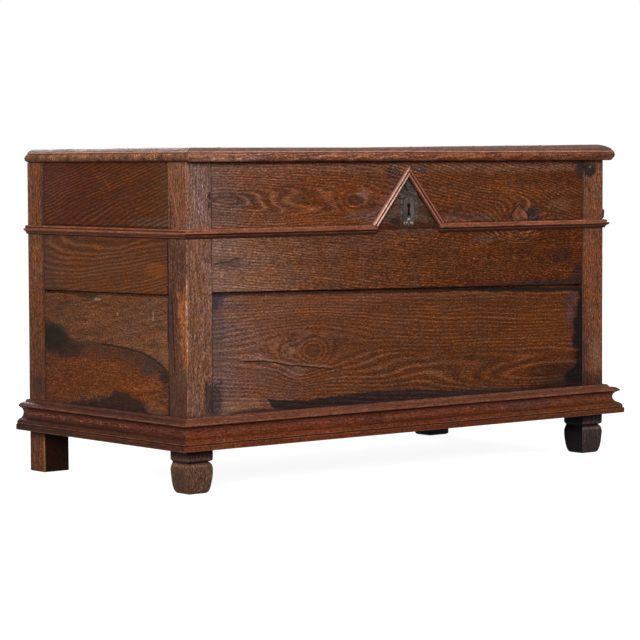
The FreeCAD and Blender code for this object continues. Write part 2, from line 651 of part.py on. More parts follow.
def lid_blank():
    """The whole lid before it is split into planks: moulded on the front and both ends, square at the back."""
    wide = BODY_WIDTH + LID_LEFT_OVERHANG + LID_RIGHT_OVERHANG
    deep = BODY_DEPTH + LID_FRONT_OVERHANG
    z = CARCASE_HEIGHT
    front = lid_edge(-BODY_DEPTH, lambda t, h: Vector(LEFT_X - LID_LEFT_OVERHANG, FRONT_Y - t, z + h),
                     LID_FRONT_OVERHANG).extrude(Vector(wide, 0, 0))
    y = FRONT_Y - LID_FRONT_OVERHANG
    left = lid_edge(-wide, lambda t, h: Vector(LEFT_X - t, y, z + h), LID_LEFT_OVERHANG)
    right = lid_edge(-wide, lambda t, h: Vector(RIGHT_X + t, y, z + h), LID_RIGHT_OVERHANG)
    return front.common(left.extrude(Vector(0, deep, 0))).common(right.extrude(Vector(0, deep, 0)))


def strap_outline(centre, growth=0.0):
    """Plan of a lid strap: narrow at the barrel, wide past the shoulder, tapering to a round tip."""
    half = STRAP_WIDTH / 2.0 + growth
    tip = STRAP_TIP_WIDTH / 2.0 + growth
    knuckle = LID_KNUCKLE_LENGTH / 2.0 + growth
    shoulder = BACK_Y - STRAP_SHOULDER + growth
    end = BACK_Y - STRAP_LENGTH + STRAP_TIP_WIDTH / 2.0
    return outline_face(
        (-knuckle, HINGE_AXIS_Y),
        [((-knuckle, shoulder),), ((-half, shoulder),), ((-tip, end),), ((0, end - tip), (tip, end)),
         ((half, shoulder),), ((knuckle, shoulder),), ((knuckle, HINGE_AXIS_Y),)],
        lambda u, y: Vector(centre + u, y, CARCASE_HEIGHT))


def knuckle(centre, x0, x1):
    """One bored knuckle of a hinge barrel."""
    start = Vector(centre + x0, HINGE_AXIS_Y, HINGE_AXIS_Z)
    end = Vector(centre + x1, HINGE_AXIS_Y, HINGE_AXIS_Z)
    return rod(BARREL_RADIUS, start, end)


def hinge(centre):
    """Strap for the lid, leaf for the back, pin, and their nails."""
    half_barrel = BARREL_LENGTH / 2.0
    half_lid = LID_KNUCKLE_LENGTH / 2.0
    gap = half_lid + KNUCKLE_CLEARANCE
    bore = rod(PIN_RADIUS + PIN_CLEARANCE, Vector(centre - half_barrel, HINGE_AXIS_Y, HINGE_AXIS_Z),
               Vector(centre + half_barrel, HINGE_AXIS_Y, HINGE_AXIS_Z))

    plate = strap_outline(centre).extrude(Vector(0, 0, HINGE_PLATE))
    strap = fused([plate, knuckle(centre, -half_lid, half_lid)]).cut(bore)
    leaf_bottom = HINGE_AXIS_Z - LEAF_HEIGHT
    notch_bottom = HINGE_AXIS_Z - BARREL_RADIUS - KNUCKLE_CLEARANCE
    leaf_plate = box(centre - half_barrel, centre + half_barrel, BACK_Y, BACK_Y + HINGE_PLATE,
                     leaf_bottom, HINGE_AXIS_Z)
    leaf = fused([leaf_plate, knuckle(centre, -half_barrel, -gap), knuckle(centre, gap, half_barrel)])
    leaf = leaf.cut(bore).cut(box(centre - gap, centre + gap, BACK_Y, HINGE_AXIS_Y + BARREL_RADIUS,
                                  notch_bottom, HINGE_AXIS_Z + BARREL_RADIUS))

    ends = [Vector(centre + side * half_barrel, HINGE_AXIS_Y, HINGE_AXIS_Z) for side in (-1, 1)]
    heads = [rod(PIN_HEAD_RADIUS, end, end + Vector(side * PIN_HEAD_HEIGHT, 0, 0))
             for side, end in zip((-1, 1), ends)]
    pin = fused([rod(PIN_RADIUS, ends[0], ends[1])] + heads)

    leaf_nails = [
        nail(Vector(centre + side * LEAF_NAIL_INSET, BACK_Y + HINGE_PLATE, leaf_bottom + height),
             Vector(0, -1, 0), HINGE_NAIL_LENGTH)
        for side in (-1, 1) for height in LEAF_NAIL_HEIGHTS
    ]
    rows = spread(STRAP_NAIL_COUNT, BACK_Y - STRAP_NAIL_FIRST, BACK_Y - STRAP_LENGTH + STRAP_NAIL_LAST_INSET)
    strap_nails = [nail(Vector(centre, y, CARCASE_HEIGHT), Vector(0, 0, 1), HINGE_NAIL_LENGTH) for y in rows]
    return strap, leaf, pin, strap_nails, leaf_nails


def strap_pocket(centre):
    """Room for a lid strap in the underside of the lid."""
    return strap_outline(centre, STRAP_POCKET_CLEARANCE).extrude(Vector(0, 0, HINGE_PLATE))


def keyhole(y0, y1):
    """Round-headed keyhole that widens towards its foot, as a cutter from y0 to y1."""
    neck = KEYHOLE_NECK_WIDTH / 2.0
    foot = KEYHOLE_FOOT_WIDTH / 2.0
    bottom = KEYHOLE_HEIGHT - KEYHOLE_DROP
    waist = KEYHOLE_HEIGHT - KEYHOLE_DROP * 0.6
    slot = elevation_prism(
        [(-neck, KEYHOLE_HEIGHT), (-neck, waist), (-foot, bottom), (foot, bottom), (neck, waist),
         (neck, KEYHOLE_HEIGHT)], y0, y1)
    head = rod(KEYHOLE_RADIUS, Vector(0, y0, KEYHOLE_HEIGHT), Vector(0, y1, KEYHOLE_HEIGHT))
    return fused([slot, head])


def escutcheon():
    """Thin iron plate round the keyhole: arched top, straight sides, three lobes below."""
    half = ESCUTCHEON_HALF_WIDTH
    shoulder = KEYHOLE_HEIGHT + ESCUTCHEON_SHOULDER
    crown = KEYHOLE_HEIGHT + ESCUTCHEON_ABOVE
    low = KEYHOLE_HEIGHT - ESCUTCHEON_BELOW
    lobe = 2.0 * half / 3.0
    steps = [((half, shoulder),), ((half * 0.72, shoulder + (crown - shoulder) * 0.62), (0, crown)),
             ((-half * 0.72, shoulder + (crown - shoulder) * 0.62), (-half, shoulder)), ((-half, low),)]
    for number in range(3):
        start = -half + number * lobe
        steps.append(((start + lobe / 2.0, low - LOBE_DROP), (start + lobe, low)))
    face = outline_face((half, low), steps, lambda x, z: Vector(x, FRONT_Y, z))
    plate = face.extrude(Vector(0, -ESCUTCHEON_THICKNESS, 0))
    return plate.cut(keyhole(FRONT_Y - ESCUTCHEON_THICKNESS, FRONT_Y))


def escutcheon_nails():
    """Two small nails, above and below the keyhole."""
    return [
        nail(Vector(0, FRONT_Y - ESCUTCHEON_THICKNESS, KEYHOLE_HEIGHT + height), Vector(0, 1, 0),
             ESCUTCHEON_NAIL_LENGTH, head_radius=NAIL_HEAD_RADIUS * 0.7)
        for height in ESCUTCHEON_NAIL_HEIGHTS
    ]


def lock_nails():
    """Two nails through the front board that hold the upper corners of the lock plate."""
    return [
        nail(Vector(side * LOCK_NAIL_OFFSET, FRONT_Y, KEYHOLE_HEIGHT + LOCK_NAIL_HEIGHT),
             Vector(0, 1, 0), LOCK_NAIL_LENGTH)
        for side in (-1, 1)
    ]


def lock_case():
    """Box over the works, open to the lock plate, with a slot above for the staple and a flange on each side."""
    half = LOCK_CASE_HALF_WIDTH
    wall = LOCK_CASE_WALL
    y0 = LOCK_PLATE_BACK_Y
    y1 = y0 + LOCK_CASE_DEPTH
    z0 = KEYHOLE_HEIGHT - LOCK_CASE_BOTTOM
    z1 = LOCK_TOP - LOCK_CASE_TOP_INSET
    flanges = box(-half - LOCK_FLANGE_WIDTH, half + LOCK_FLANGE_WIDTH, y0, y0 + wall,
                  KEYHOLE_HEIGHT + LOCK_FLANGE_RANGE[0], KEYHOLE_HEIGHT + LOCK_FLANGE_RANGE[1])
    case = fused([box(-half, half, y0, y1, z0, z1), flanges])
    case = case.cut(box(-half + wall, half - wall, y0, y1 - wall, z0 + wall, z1 - wall))
    slot_x = STAPLE_THICKNESS / 2.0 + STAPLE_SLOT_CLEARANCE
    middle = BOLT_FRONT_Y + BOLT_THICKNESS / 2.0
    slot_y = STAPLE_DEPTH / 2.0 + STAPLE_SLOT_CLEARANCE
    return case.cut(box(-slot_x, slot_x, middle - slot_y, min(middle + slot_y, y1 - wall), z1 - wall, z1))


def lock_rivets():
    """Four rivets through the lock case's flanges and the lock plate."""
    x = LOCK_CASE_HALF_WIDTH + LOCK_FLANGE_WIDTH / 2.0
    y = LOCK_PLATE_BACK_Y + LOCK_CASE_WALL
    rivets = []
    for side in (-1, 1):
        for height in LOCK_RIVET_HEIGHTS:
            seat = Vector(side * x, y, KEYHOLE_HEIGHT + height)
            head = Part.makeCone(LOCK_RIVET_HEAD_RADIUS, LOCK_RIVET_RADIUS, LOCK_RIVET_HEAD_HEIGHT,
                                 seat, Vector(0, 1, 0))
            shank = rod(LOCK_RIVET_RADIUS, Vector(seat.x, INNER_FRONT_Y, seat.z), seat)
            rivets.append(fused([head, shank]))
    return rivets


def lock_bolt():
    """Sliding bolt, drawn back: bar in a guide, tail, and a foot with a talon that the key throws past the middle."""
    y0 = BOLT_FRONT_Y
    y1 = y0 + BOLT_THICKNESS
    low = BOLT_Z - BOLT_HEIGHT / 2.0
    x0 = BOLT_END_X - BOLT_LENGTH
    foot_z = KEYHOLE_HEIGHT + BOLT_FOOT_ABOVE_KEY
    bar = box(x0, BOLT_END_X, y0, y1, low, low + BOLT_HEIGHT)
    tail = box(x0, x0 + BOLT_TAIL_WIDTH, y0, y1, foot_z, low)
    foot = box(x0, x0 + BOLT_FOOT_REACH, y0, y1, foot_z, foot_z + BOLT_FOOT_HEIGHT)
    talon_x = -(BOLT_THROW + TALON_WIDTH) / 2.0
    talon = box(talon_x, talon_x + TALON_WIDTH, y0, y1, foot_z, foot_z + TALON_DEPTH)
    return fused([bar, tail, foot]).cut(talon)


def bolt_guides():
    """Two bridges riveted to the lock plate, one each side of the staple, that the bolt slides through."""
    y0 = LOCK_PLATE_BACK_Y
    low = BOLT_Z - BOLT_HEIGHT / 2.0 - GUIDE_CLEARANCE
    high = BOLT_Z + BOLT_HEIGHT / 2.0 + GUIDE_CLEARANCE
    front = BOLT_FRONT_Y - GUIDE_CLEARANCE
    back = BOLT_FRONT_Y + BOLT_THICKNESS + GUIDE_CLEARANCE
    guides = []
    for x in (BOLT_END_X - GUIDE_LENGTH, -BOLT_END_X):
        block = box(x, x + GUIDE_LENGTH, y0, back + GUIDE_WALL / 2.0, low - GUIDE_WALL, high + GUIDE_WALL)
        guides.append(block.cut(box(x, x + GUIDE_LENGTH, front, back, low, high)))
    return guides


def lock_spring():
    """Bowed leaf spring with a foot on the lock plate, whose tip bears on the bolt's foot."""
    y0 = BOLT_FRONT_Y
    tip_z = KEYHOLE_HEIGHT + BOLT_FOOT_ABOVE_KEY + BOLT_FOOT_HEIGHT + SPRING_LIFT
    anchor_z = tip_z + SPRING_RISE
    middle = ((SPRING_TIP + SPRING_ANCHOR) / 2.0, (tip_z + anchor_z) / 2.0 - SPRING_BOW)
    thick = SPRING_THICKNESS
    face = outline_face(
        (SPRING_TIP, tip_z),
        [(middle, (SPRING_ANCHOR, anchor_z)), ((SPRING_ANCHOR - thick, anchor_z),),
         ((middle[0] - thick * 0.7, middle[1] + thick * 0.7), (SPRING_TIP, tip_z + thick))],
        lambda x, z: Vector(x, y0, z))
    leaf = face.extrude(Vector(0, SPRING_WIDTH, 0))
    foot = box(SPRING_ANCHOR - 2.0 * thick, SPRING_ANCHOR + 2.0 * thick, LOCK_PLATE_BACK_Y, y0 + SPRING_WIDTH,
               anchor_z - 2.0 * thick, anchor_z + 4.0 * thick)
    return fused([leaf, foot])


def key_pin():
    """Pin that a hollow key turns on, standing out from the back of the lock case."""
    back = LOCK_PLATE_BACK_Y + LOCK_CASE_DEPTH - LOCK_CASE_WALL
    return rod(KEY_PIN_RADIUS, Vector(0, LOCK_PLATE_BACK_Y + KEY_PIN_START, KEYHOLE_HEIGHT),
               Vector(0, back, KEYHOLE_HEIGHT))


def lid_staple():
    """Plate under the lid with a tongue that hangs into the lock; the bolt passes through its eye."""
    middle = BOLT_FRONT_Y + BOLT_THICKNESS / 2.0
    half = STAPLE_THICKNESS / 2.0
    eye_z = BOLT_HEIGHT / 2.0 + STAPLE_EYE_CLEARANCE
    eye_y = BOLT_THICKNESS / 2.0 + STAPLE_EYE_CLEARANCE
    top = CARCASE_HEIGHT + STAPLE_PLATE_THICKNESS
    tongue = box(-half, half, middle - STAPLE_DEPTH / 2.0, middle + STAPLE_DEPTH / 2.0,
                 BOLT_Z - eye_z - STAPLE_BELOW_EYE, CARCASE_HEIGHT)
    plate = box(-STAPLE_PLATE_LENGTH / 2.0, STAPLE_PLATE_LENGTH / 2.0, middle - STAPLE_PLATE_WIDTH / 2.0,
                middle + STAPLE_PLATE_WIDTH / 2.0, CARCASE_HEIGHT, top)
    eye = box(-half, half, middle - eye_y, middle + eye_y, BOLT_Z - eye_z, BOLT_Z + eye_z)
    return fused([plate, tongue]).cut(eye), plate


def staple_nails():
    """Two nails that hold the staple's plate up against the lid."""
    middle = BOLT_FRONT_Y + BOLT_THICKNESS / 2.0
    return [
        flush_nail(Vector(side * STAPLE_NAIL_OFFSET, middle, CARCASE_HEIGHT), Vector(0, 0, 1), HINGE_NAIL_LENGTH)
        for side in (-1, 1)
    ]


def lid_battens():
    """Two battens under the lid, clear of the carcase all round."""
    y0 = INNER_FRONT_Y + BATTEN_END_CLEARANCE
    y1 = INNER_BACK_Y - BATTEN_END_CLEARANCE
    nodes = {}
    for name, side in (("left", -1.0), ("right", 1.0)):
        x = side * BATTEN_X
        nodes[f"lid_{name}_batten"] = box(x - BATTEN_WIDTH / 2.0, x + BATTEN_WIDTH / 2.0, y0, y1,
                                          CARCASE_HEIGHT - BATTEN_THICKNESS, CARCASE_HEIGHT)
    return nodes


def batten_nails():
    """Nails driven from the top of the lid into the battens, their heads level with the planks."""
    rows = spread(BATTEN_NAIL_COUNT, INNER_FRONT_Y + BATTEN_NAIL_INSET, INNER_BACK_Y - BATTEN_NAIL_INSET)
    length = LID_THICKNESS + BATTEN_THICKNESS * 0.8
    return [flush_nail(Vector(side * BATTEN_X, y, LID_TOP), Vector(0, 0, -1), length)
            for side in (-1, 1) for y in rows]


def lid_planks():
    """The lid's three planks, from front to back."""
    blank = lid_blank()
    cuts = [FRONT_Y - LID_FRONT_OVERHANG] + [FRONT_Y + seam for seam in LID_SEAMS] + [BACK_Y]
    nodes = {}
    for name, y0, y1 in zip(("front", "middle", "rear"), cuts, cuts[1:]):
        nodes[f"lid_{name}_plank"] = blank.common(
            box(LEFT_X - LID_LEFT_OVERHANG, RIGHT_X + LID_RIGHT_OVERHANG, y0, y1, CARCASE_HEIGHT, LID_TOP))
    return nodes


def build():
    """Every node of the chest, by name. A node of several like pieces holds a list."""
    nodes = {}
    nodes.update(posts())
    nodes.update(wall_boards())
    nodes.update(moulding_runs(base_outline, BASE_BOTTOM, BASE_PROJECTION, "base_moulding"))
    nodes.update(waist_mouldings())
    nodes.update(floor_boards())
    nodes.update(lid_planks())
    nodes.update(lid_battens())
    planks = ("lid_front_plank", "lid_middle_plank", "lid_rear_plank")
    groups = {"floor_nails": floor_nails(), "lid_batten_nails": batten_nails(), "lid_strap_nails": [],
              "back_leaf_nails": [], "lock_nails": lock_nails(), "escutcheon_nails": escutcheon_nails(),
              "staple_nails": staple_nails(), "lock_case_rivets": lock_rivets(), "lock_bolt_guides": bolt_guides()}

    for side, centre in (("left", -HINGE_X), ("right", HINGE_X)):
        strap, leaf, pin, strap_nails, leaf_nails = hinge(centre)
        nodes[f"{side}_hinge_strap"] = strap
        nodes[f"{side}_hinge_leaf"] = leaf
        nodes[f"{side}_hinge_pin"] = pin
        groups["lid_strap_nails"] += strap_nails
        groups["back_leaf_nails"] += leaf_nails
        drilled(nodes, [f"{side}_hinge_strap"], strap_nails)
        drilled(nodes, [f"{side}_hinge_leaf"], leaf_nails)
        for name in planks:
            nodes[name] = nodes[name].cut(strap_pocket(centre))

    nodes["keyhole_escutcheon"] = escutcheon()
    nodes["lock_plate"] = box(-LOCK_PLATE_HALF_WIDTH, LOCK_PLATE_HALF_WIDTH, INNER_FRONT_Y, LOCK_PLATE_BACK_Y,
                              KEYHOLE_HEIGHT - LOCK_PLATE_BOTTOM, LOCK_TOP)
    nodes["lock_case"] = lock_case()
    nodes["lock_bolt"] = lock_bolt()
    nodes["lock_spring"] = lock_spring()
    nodes["lock_key_pin"] = key_pin()
    nodes["lid_staple"], staple_plate = lid_staple()
    nodes["lid_front_plank"] = nodes["lid_front_plank"].cut(staple_plate)
    for name in ("front_upper_board", "lock_plate"):
        nodes[name] = nodes[name].cut(keyhole(FRONT_Y, LOCK_PLATE_BACK_Y))

    drilled(nodes, planks, groups["lid_strap_nails"] + groups["lid_batten_nails"] + groups["staple_nails"])
    drilled(nodes, ["lid_left_batten", "lid_right_batten"], groups["lid_batten_nails"])
    drilled(nodes, ["lid_staple"], groups["staple_nails"])
    drilled(nodes, ["back_upper_board"], groups["back_leaf_nails"])
    drilled(nodes, ["front_upper_board", "lock_plate"], groups["lock_nails"] + groups["escutcheon_nails"])
    drilled(nodes, ["keyhole_escutcheon"], groups["escutcheon_nails"])
    drilled(nodes, ["lock_plate", "lock_case"], groups["lock_case_rivets"])
    floors = [name for name in nodes if name.startswith("floor_board") or name.endswith("ledger")]
    drilled(nodes, floors, groups["floor_nails"])

    for name, solids in groups.items():
        nodes[name] = Part.makeCompound(solids)
    return nodes


os.makedirs("parts", exist_ok=True)
for node, shape in build().items():
    shape.exportStep(f"parts/{node}.step")
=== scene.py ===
"""Looks of the oak grain ark: worn boards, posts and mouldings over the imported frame, procedural finishes.

Metres, in the model's frame: +X right along the front, +Y to the back, +Z up.
"""

import itertools
import math

import bpy
import numpy as np
from mathutils import Matrix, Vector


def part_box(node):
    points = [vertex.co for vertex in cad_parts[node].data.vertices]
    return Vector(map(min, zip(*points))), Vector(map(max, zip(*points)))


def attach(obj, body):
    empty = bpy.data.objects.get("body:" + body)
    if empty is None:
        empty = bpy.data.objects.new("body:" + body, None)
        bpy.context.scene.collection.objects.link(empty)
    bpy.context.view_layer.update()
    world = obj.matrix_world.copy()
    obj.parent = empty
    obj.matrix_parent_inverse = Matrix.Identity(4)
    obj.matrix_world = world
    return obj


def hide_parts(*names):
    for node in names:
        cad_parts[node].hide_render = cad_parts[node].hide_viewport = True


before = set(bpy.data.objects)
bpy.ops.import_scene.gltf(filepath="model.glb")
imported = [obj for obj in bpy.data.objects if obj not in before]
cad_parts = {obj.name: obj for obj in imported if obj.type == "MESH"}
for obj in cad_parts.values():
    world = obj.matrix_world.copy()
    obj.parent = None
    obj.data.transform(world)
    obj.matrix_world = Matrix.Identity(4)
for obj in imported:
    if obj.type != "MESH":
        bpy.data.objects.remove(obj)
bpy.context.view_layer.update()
MM = 0.001

# ---- Sizes that follow the model, in millimetres ----
HALF = 750.0            # half the width over the posts
FRONT = -351.0          # faces of the front and rear posts
BACK = 383.0
POST_W = 82.0
POST_D = 78.0
REAR_D = 70.0           # the rear feet are shallower than their posts
TOP = 849.0             # top of the carcase
BASE_Z = 117.0          # feet of the two mouldings
WAIST_Z = 654.5
FRONT_LENGTH = 1336.0   # boards between the posts
SIDE_LENGTH = 578.0
SIDE_START = -273.0
LOWER_SEAM = 500.0
UPPER_SEAM = 665.0
LID_CONTACT = TOP + 0.35
LID_X0, LID_X1, LID_Y0 = -764.0, 776.0, -377.0
# the wandering split in the lower left board: (place along the wall, height)
LEFT_SPLIT = [(-212.0, 340.0), (-150.0, 357.0), (-78.0, 364.0), (37.0, 369.0), (156.0, 372.0), (200.0, 385.0),
              (260.0, 415.0), (305.0, 425.0)]


# ---------------------------------------------------------------- noise and meshes
TABLE_SIZE = 4096       # a power of two
TABLE = np.random.default_rng(7).uniform(-1.0, 1.0, TABLE_SIZE)
HASH = (73856093, 19349663, 83492791)


def noise(p, per_mm, seed=0):
    """Smooth noise from -1 to 1 at points p; per_mm is cells per millimetre, one number or one per axis."""
    q = p * np.asarray(per_mm, float) + seed * 17.31 + 1000.0
    i = np.floor(q).astype(np.int64)
    f = q - i
    f = f * f * (3.0 - 2.0 * f)
    total = 0.0
    for step in itertools.product((0, 1), repeat=3):
        key, weight = 0, 1.0
        for axis, d in enumerate(step):
            key = key ^ (i[:, axis] + d) * HASH[axis]
            weight = weight * (f[:, axis] if d else 1.0 - f[:, axis])
        total = total + TABLE[key & (TABLE_SIZE - 1)] * weight
    return total


def rough(p, per_mm, seed=0, octaves=3):
    """Noise of several octaves."""
    cells = np.asarray(per_mm, float)
    return sum(noise(p, cells * 2.0 ** k, seed + 5 * k) * 0.5 ** k for k in range(octaves))


def ease(value, low, high):
    """Smooth step from 0 at low to 1 at high."""
    t = np.clip((value - low) / (high - low), 0.0, 1.0)
    return t * t * (3.0 - 2.0 * t)


def stations(low, high, edge, step):
    """Places from low to high: close together near both ends, then a step apart."""
    near = np.array([0.0, 0.3, 0.62, 1.0, 1.5]) * edge
    if high - low < 4.0 * near[-1]:
        return np.linspace(low, high, max(3, int((high - low) / (0.4 * edge)) + 1))
    count = max(1, int(round((high - low - 2.0 * near[-1]) / step)))
    middle = np.linspace(low + near[-1], high - near[-1], count + 1)
    return np.concatenate([low + near[:-1], middle, (high - near[:-1])[::-1]])


def box_grid(sx, sy, sz):
    """Points and four-sided faces over the surface of a box with these stations."""
    shape = (len(sx), len(sy), len(sz))
    outside = np.ones(shape, bool)
    outside[1:-1, 1:-1, 1:-1] = False
    index = -np.ones(shape, int)
    index[outside] = np.arange(outside.sum())
    gx, gy, gz = np.meshgrid(sx, sy, sz, indexing="ij")
    points = np.stack([gx[outside], gy[outside], gz[outside]], 1)
    faces = []
    for axis in range(3):
        for end in (0, -1):
            sheet = np.take(index, end, axis=axis)
            corners = (sheet[:-1, :-1], sheet[1:, :-1], sheet[1:, 1:], sheet[:-1, 1:])
            quads = np.stack(corners, -1).reshape(-1, 4)
            flip = (end == 0) != (axis == 1)
            faces.append(quads[:, ::-1] if flip else quads)
    return points, [np.concatenate(faces)]


def soften(points, low, high, radius):
    """Rounds a box's surface; returns points, their outward directions and how near an arris each lies."""
    r = np.broadcast_to(np.asarray(radius, float), len(points))[:, None]
    inner = np.clip(points, np.asarray(low) + r, np.asarray(high) - r)
    d = points - inner
    size = np.abs(d)
    reach = np.linalg.norm(d, axis=1, keepdims=True)
    out = d / np.maximum(reach, 1e-9)
    wear = np.sort(size, axis=1)[:, 1] / r[:, 0]
    return inner + out * size.max(1, keepdims=True), out, wear


def add_mesh(name, points, faces, wear):
    """Smooth object from points in millimetres and arrays of faces; wear becomes a vertex attribute."""
    mesh = bpy.data.meshes.new(name)
    mesh.vertices.add(len(points))
    mesh.vertices.foreach_set("co", (points * MM).ravel())
    corners = np.concatenate([f.ravel() for f in faces])
    sizes = np.concatenate([np.full(len(f), f.shape[1]) for f in faces])
    mesh.loops.add(len(corners))
    mesh.loops.foreach_set("vertex_index", corners)
    mesh.polygons.add(len(sizes))
    mesh.polygons.foreach_set("loop_start", np.cumsum(sizes) - sizes)
    mesh.update(calc_edges=True)
    mesh.shade_smooth()
    layer = mesh.attributes.new("wear", "FLOAT", "POINT")
    layer.data.foreach_set("value", np.asarray(wear, np.float32))
    obj = bpy.data.objects.new(name, mesh)
    bpy.context.scene.collection.objects.link(obj)
    return obj


def joined(parts):
    """Several (points, faces, wear) as one."""
    starts = np.cumsum([0] + [len(p) for p, _, _ in parts])
    faces = [f + start for (_, fs, _), start in zip(parts, starts) for f in fs]
    return np.concatenate([p for p, _, _ in parts]), faces, np.concatenate([w for _, _, w in parts])


def oriented(points, faces, wear):
    """Turns the faces of a closed mesh outwards."""
    volume = 0.0
    for f in faces:
        for k in range(1, f.shape[1] - 1):
            volume += (points[f[:, 0]] * np.cross(points[f[:, k]], points[f[:, k + 1]])).sum()
    return points, [f[:, ::-1] for f in faces] if volume < 0.0 else faces, wear


def worn_box(low, high, radius=1.6, step=9.0, wave=0.5, chips=0.0, seed=0, edge=None):
    """A hand-worked board: arrises worn unevenly, faces slightly uneven, chips along the arrises."""
    low, high = np.asarray(low, float), np.asarray(high, float)
    edge = edge or radius * 1.4
    points, faces = box_grid(*(stations(a, b, edge, step) for a, b in zip(low, high)))
    r = radius * (1.0 + 0.45 * noise(points, 0.02, seed))
    r = np.minimum(r, (high - low).min() * 0.45)
    p, out, wear = soften(points, low, high, r)
    p = p + out * (wave * (rough(p, (0.004, 0.012, 0.012), seed + 1, 3) - 0.5))[:, None]
    if chips:
        bite = np.maximum(rough(p, 0.035, seed + 2, 3) - 0.35, 0.0) * chips * ease(wear, 0.2, 0.9)
        p = p - out * bite[:, None]
    return p, faces, wear


def round_corner(u, v, corner, inward, radius, where=True):
    """Pulls points in to round a corner of a flat outline; inward is each axis's sign towards its middle."""
    (cu, cv), (su, sv) = corner, inward
    du, dv = (u - cu) * su, (v - cv) * sv
    near = (du < radius) & (dv < radius) & where
    qu, qv = np.maximum(radius - du, 0.0), np.maximum(radius - dv, 0.0)
    pull = np.maximum(qu, qv) / np.maximum(np.hypot(qu, qv), 1e-9)
    return (np.where(near, cu + su * (radius - qu * pull), u),
            np.where(near, cv + sv * (radius - qv * pull), v))


def piece(node, mesh, body):
    """Adds the worn piece that stands for a CAD node, in that node's material."""
    obj = add_mesh("worn_" + node, *mesh)
    obj.data.materials.append(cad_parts[node].data.materials[0])
    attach(obj, body)
    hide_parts(node)


# ---------------------------------------------------------------- shader helpers
def linear(r, g, b):
    """Scene colour of an 8-bit one."""
    shares = (c / 255.0 for c in (r, g, b))
    return tuple(c / 12.92 if c <= 0.0404 else ((c + 0.055) / 1.055) ** 2.4 for c in shares) + (1.0,)


def operation(name, swapped=False):
    """A method that adds a maths node; swapped puts the socket last."""
    def method(self, *others):
        return self.net.math(name, *((*others, self) if swapped else (self, *others)))
    return method


class Val:
    """A shader socket with arithmetic, done by nodes."""

    def __init__(self, net, socket):
        self.net = net
        self.socket = socket

    __add__ = operation("ADD")
    __sub__ = operation("SUBTRACT")
    __rsub__ = operation("SUBTRACT", swapped=True)
    __mul__ = operation("MULTIPLY")
    __truediv__ = operation("DIVIDE")
    __pow__ = operation("POWER")
    abs = operation("ABSOLUTE")
    sin = operation("SINE")
    exp = operation("EXPONENT")
    max = operation("MAXIMUM")
    min = operation("MINIMUM")

    def ramp(self, a, b, low=0.0, high=1.0):
        """Smooth step from low at a to high at b."""
        if a > b:
            a, b, low, high = b, a, high, low
        node = self.net.node("MapRange", interpolation_type="SMOOTHSTEP")
        for socket, value in zip(node.inputs, (self, a, b, low, high)):
            self.net.feed(socket, value)
        return Val(self.net, node.outputs[0])

    def window(self, start, full, fade, end):
        """1 from full to fade, 0 before start and past end."""
        return self.ramp(start, full) * self.ramp(end, fade)

    def curve(self, points):
        """The polyline through these (place, value) points, level beyond its ends."""
        xs, ys = zip(*points)
        x0, dx, y0, dy = xs[0], xs[-1] - xs[0], min(ys), max(ys) - min(ys)
        node = self.net.node("FloatCurve")
        node.mapping.extend = "HORIZONTAL"
        line = node.mapping.curves[0]
        for x, y in points[1:-1]:
            line.points.new((x - x0) / dx, (y - y0) / dy)
        line.points[0].location = (0.0, (ys[0] - y0) / dy)
        line.points[-1].location = (1.0, (ys[-1] - y0) / dy)
        for point in line.points:
            point.handle_type = "VECTOR"
        node.mapping.update()
        self.net.feed(node.inputs["Value"], (self - x0) / dx)
        return Val(self.net, node.outputs[0]) * dy + y0


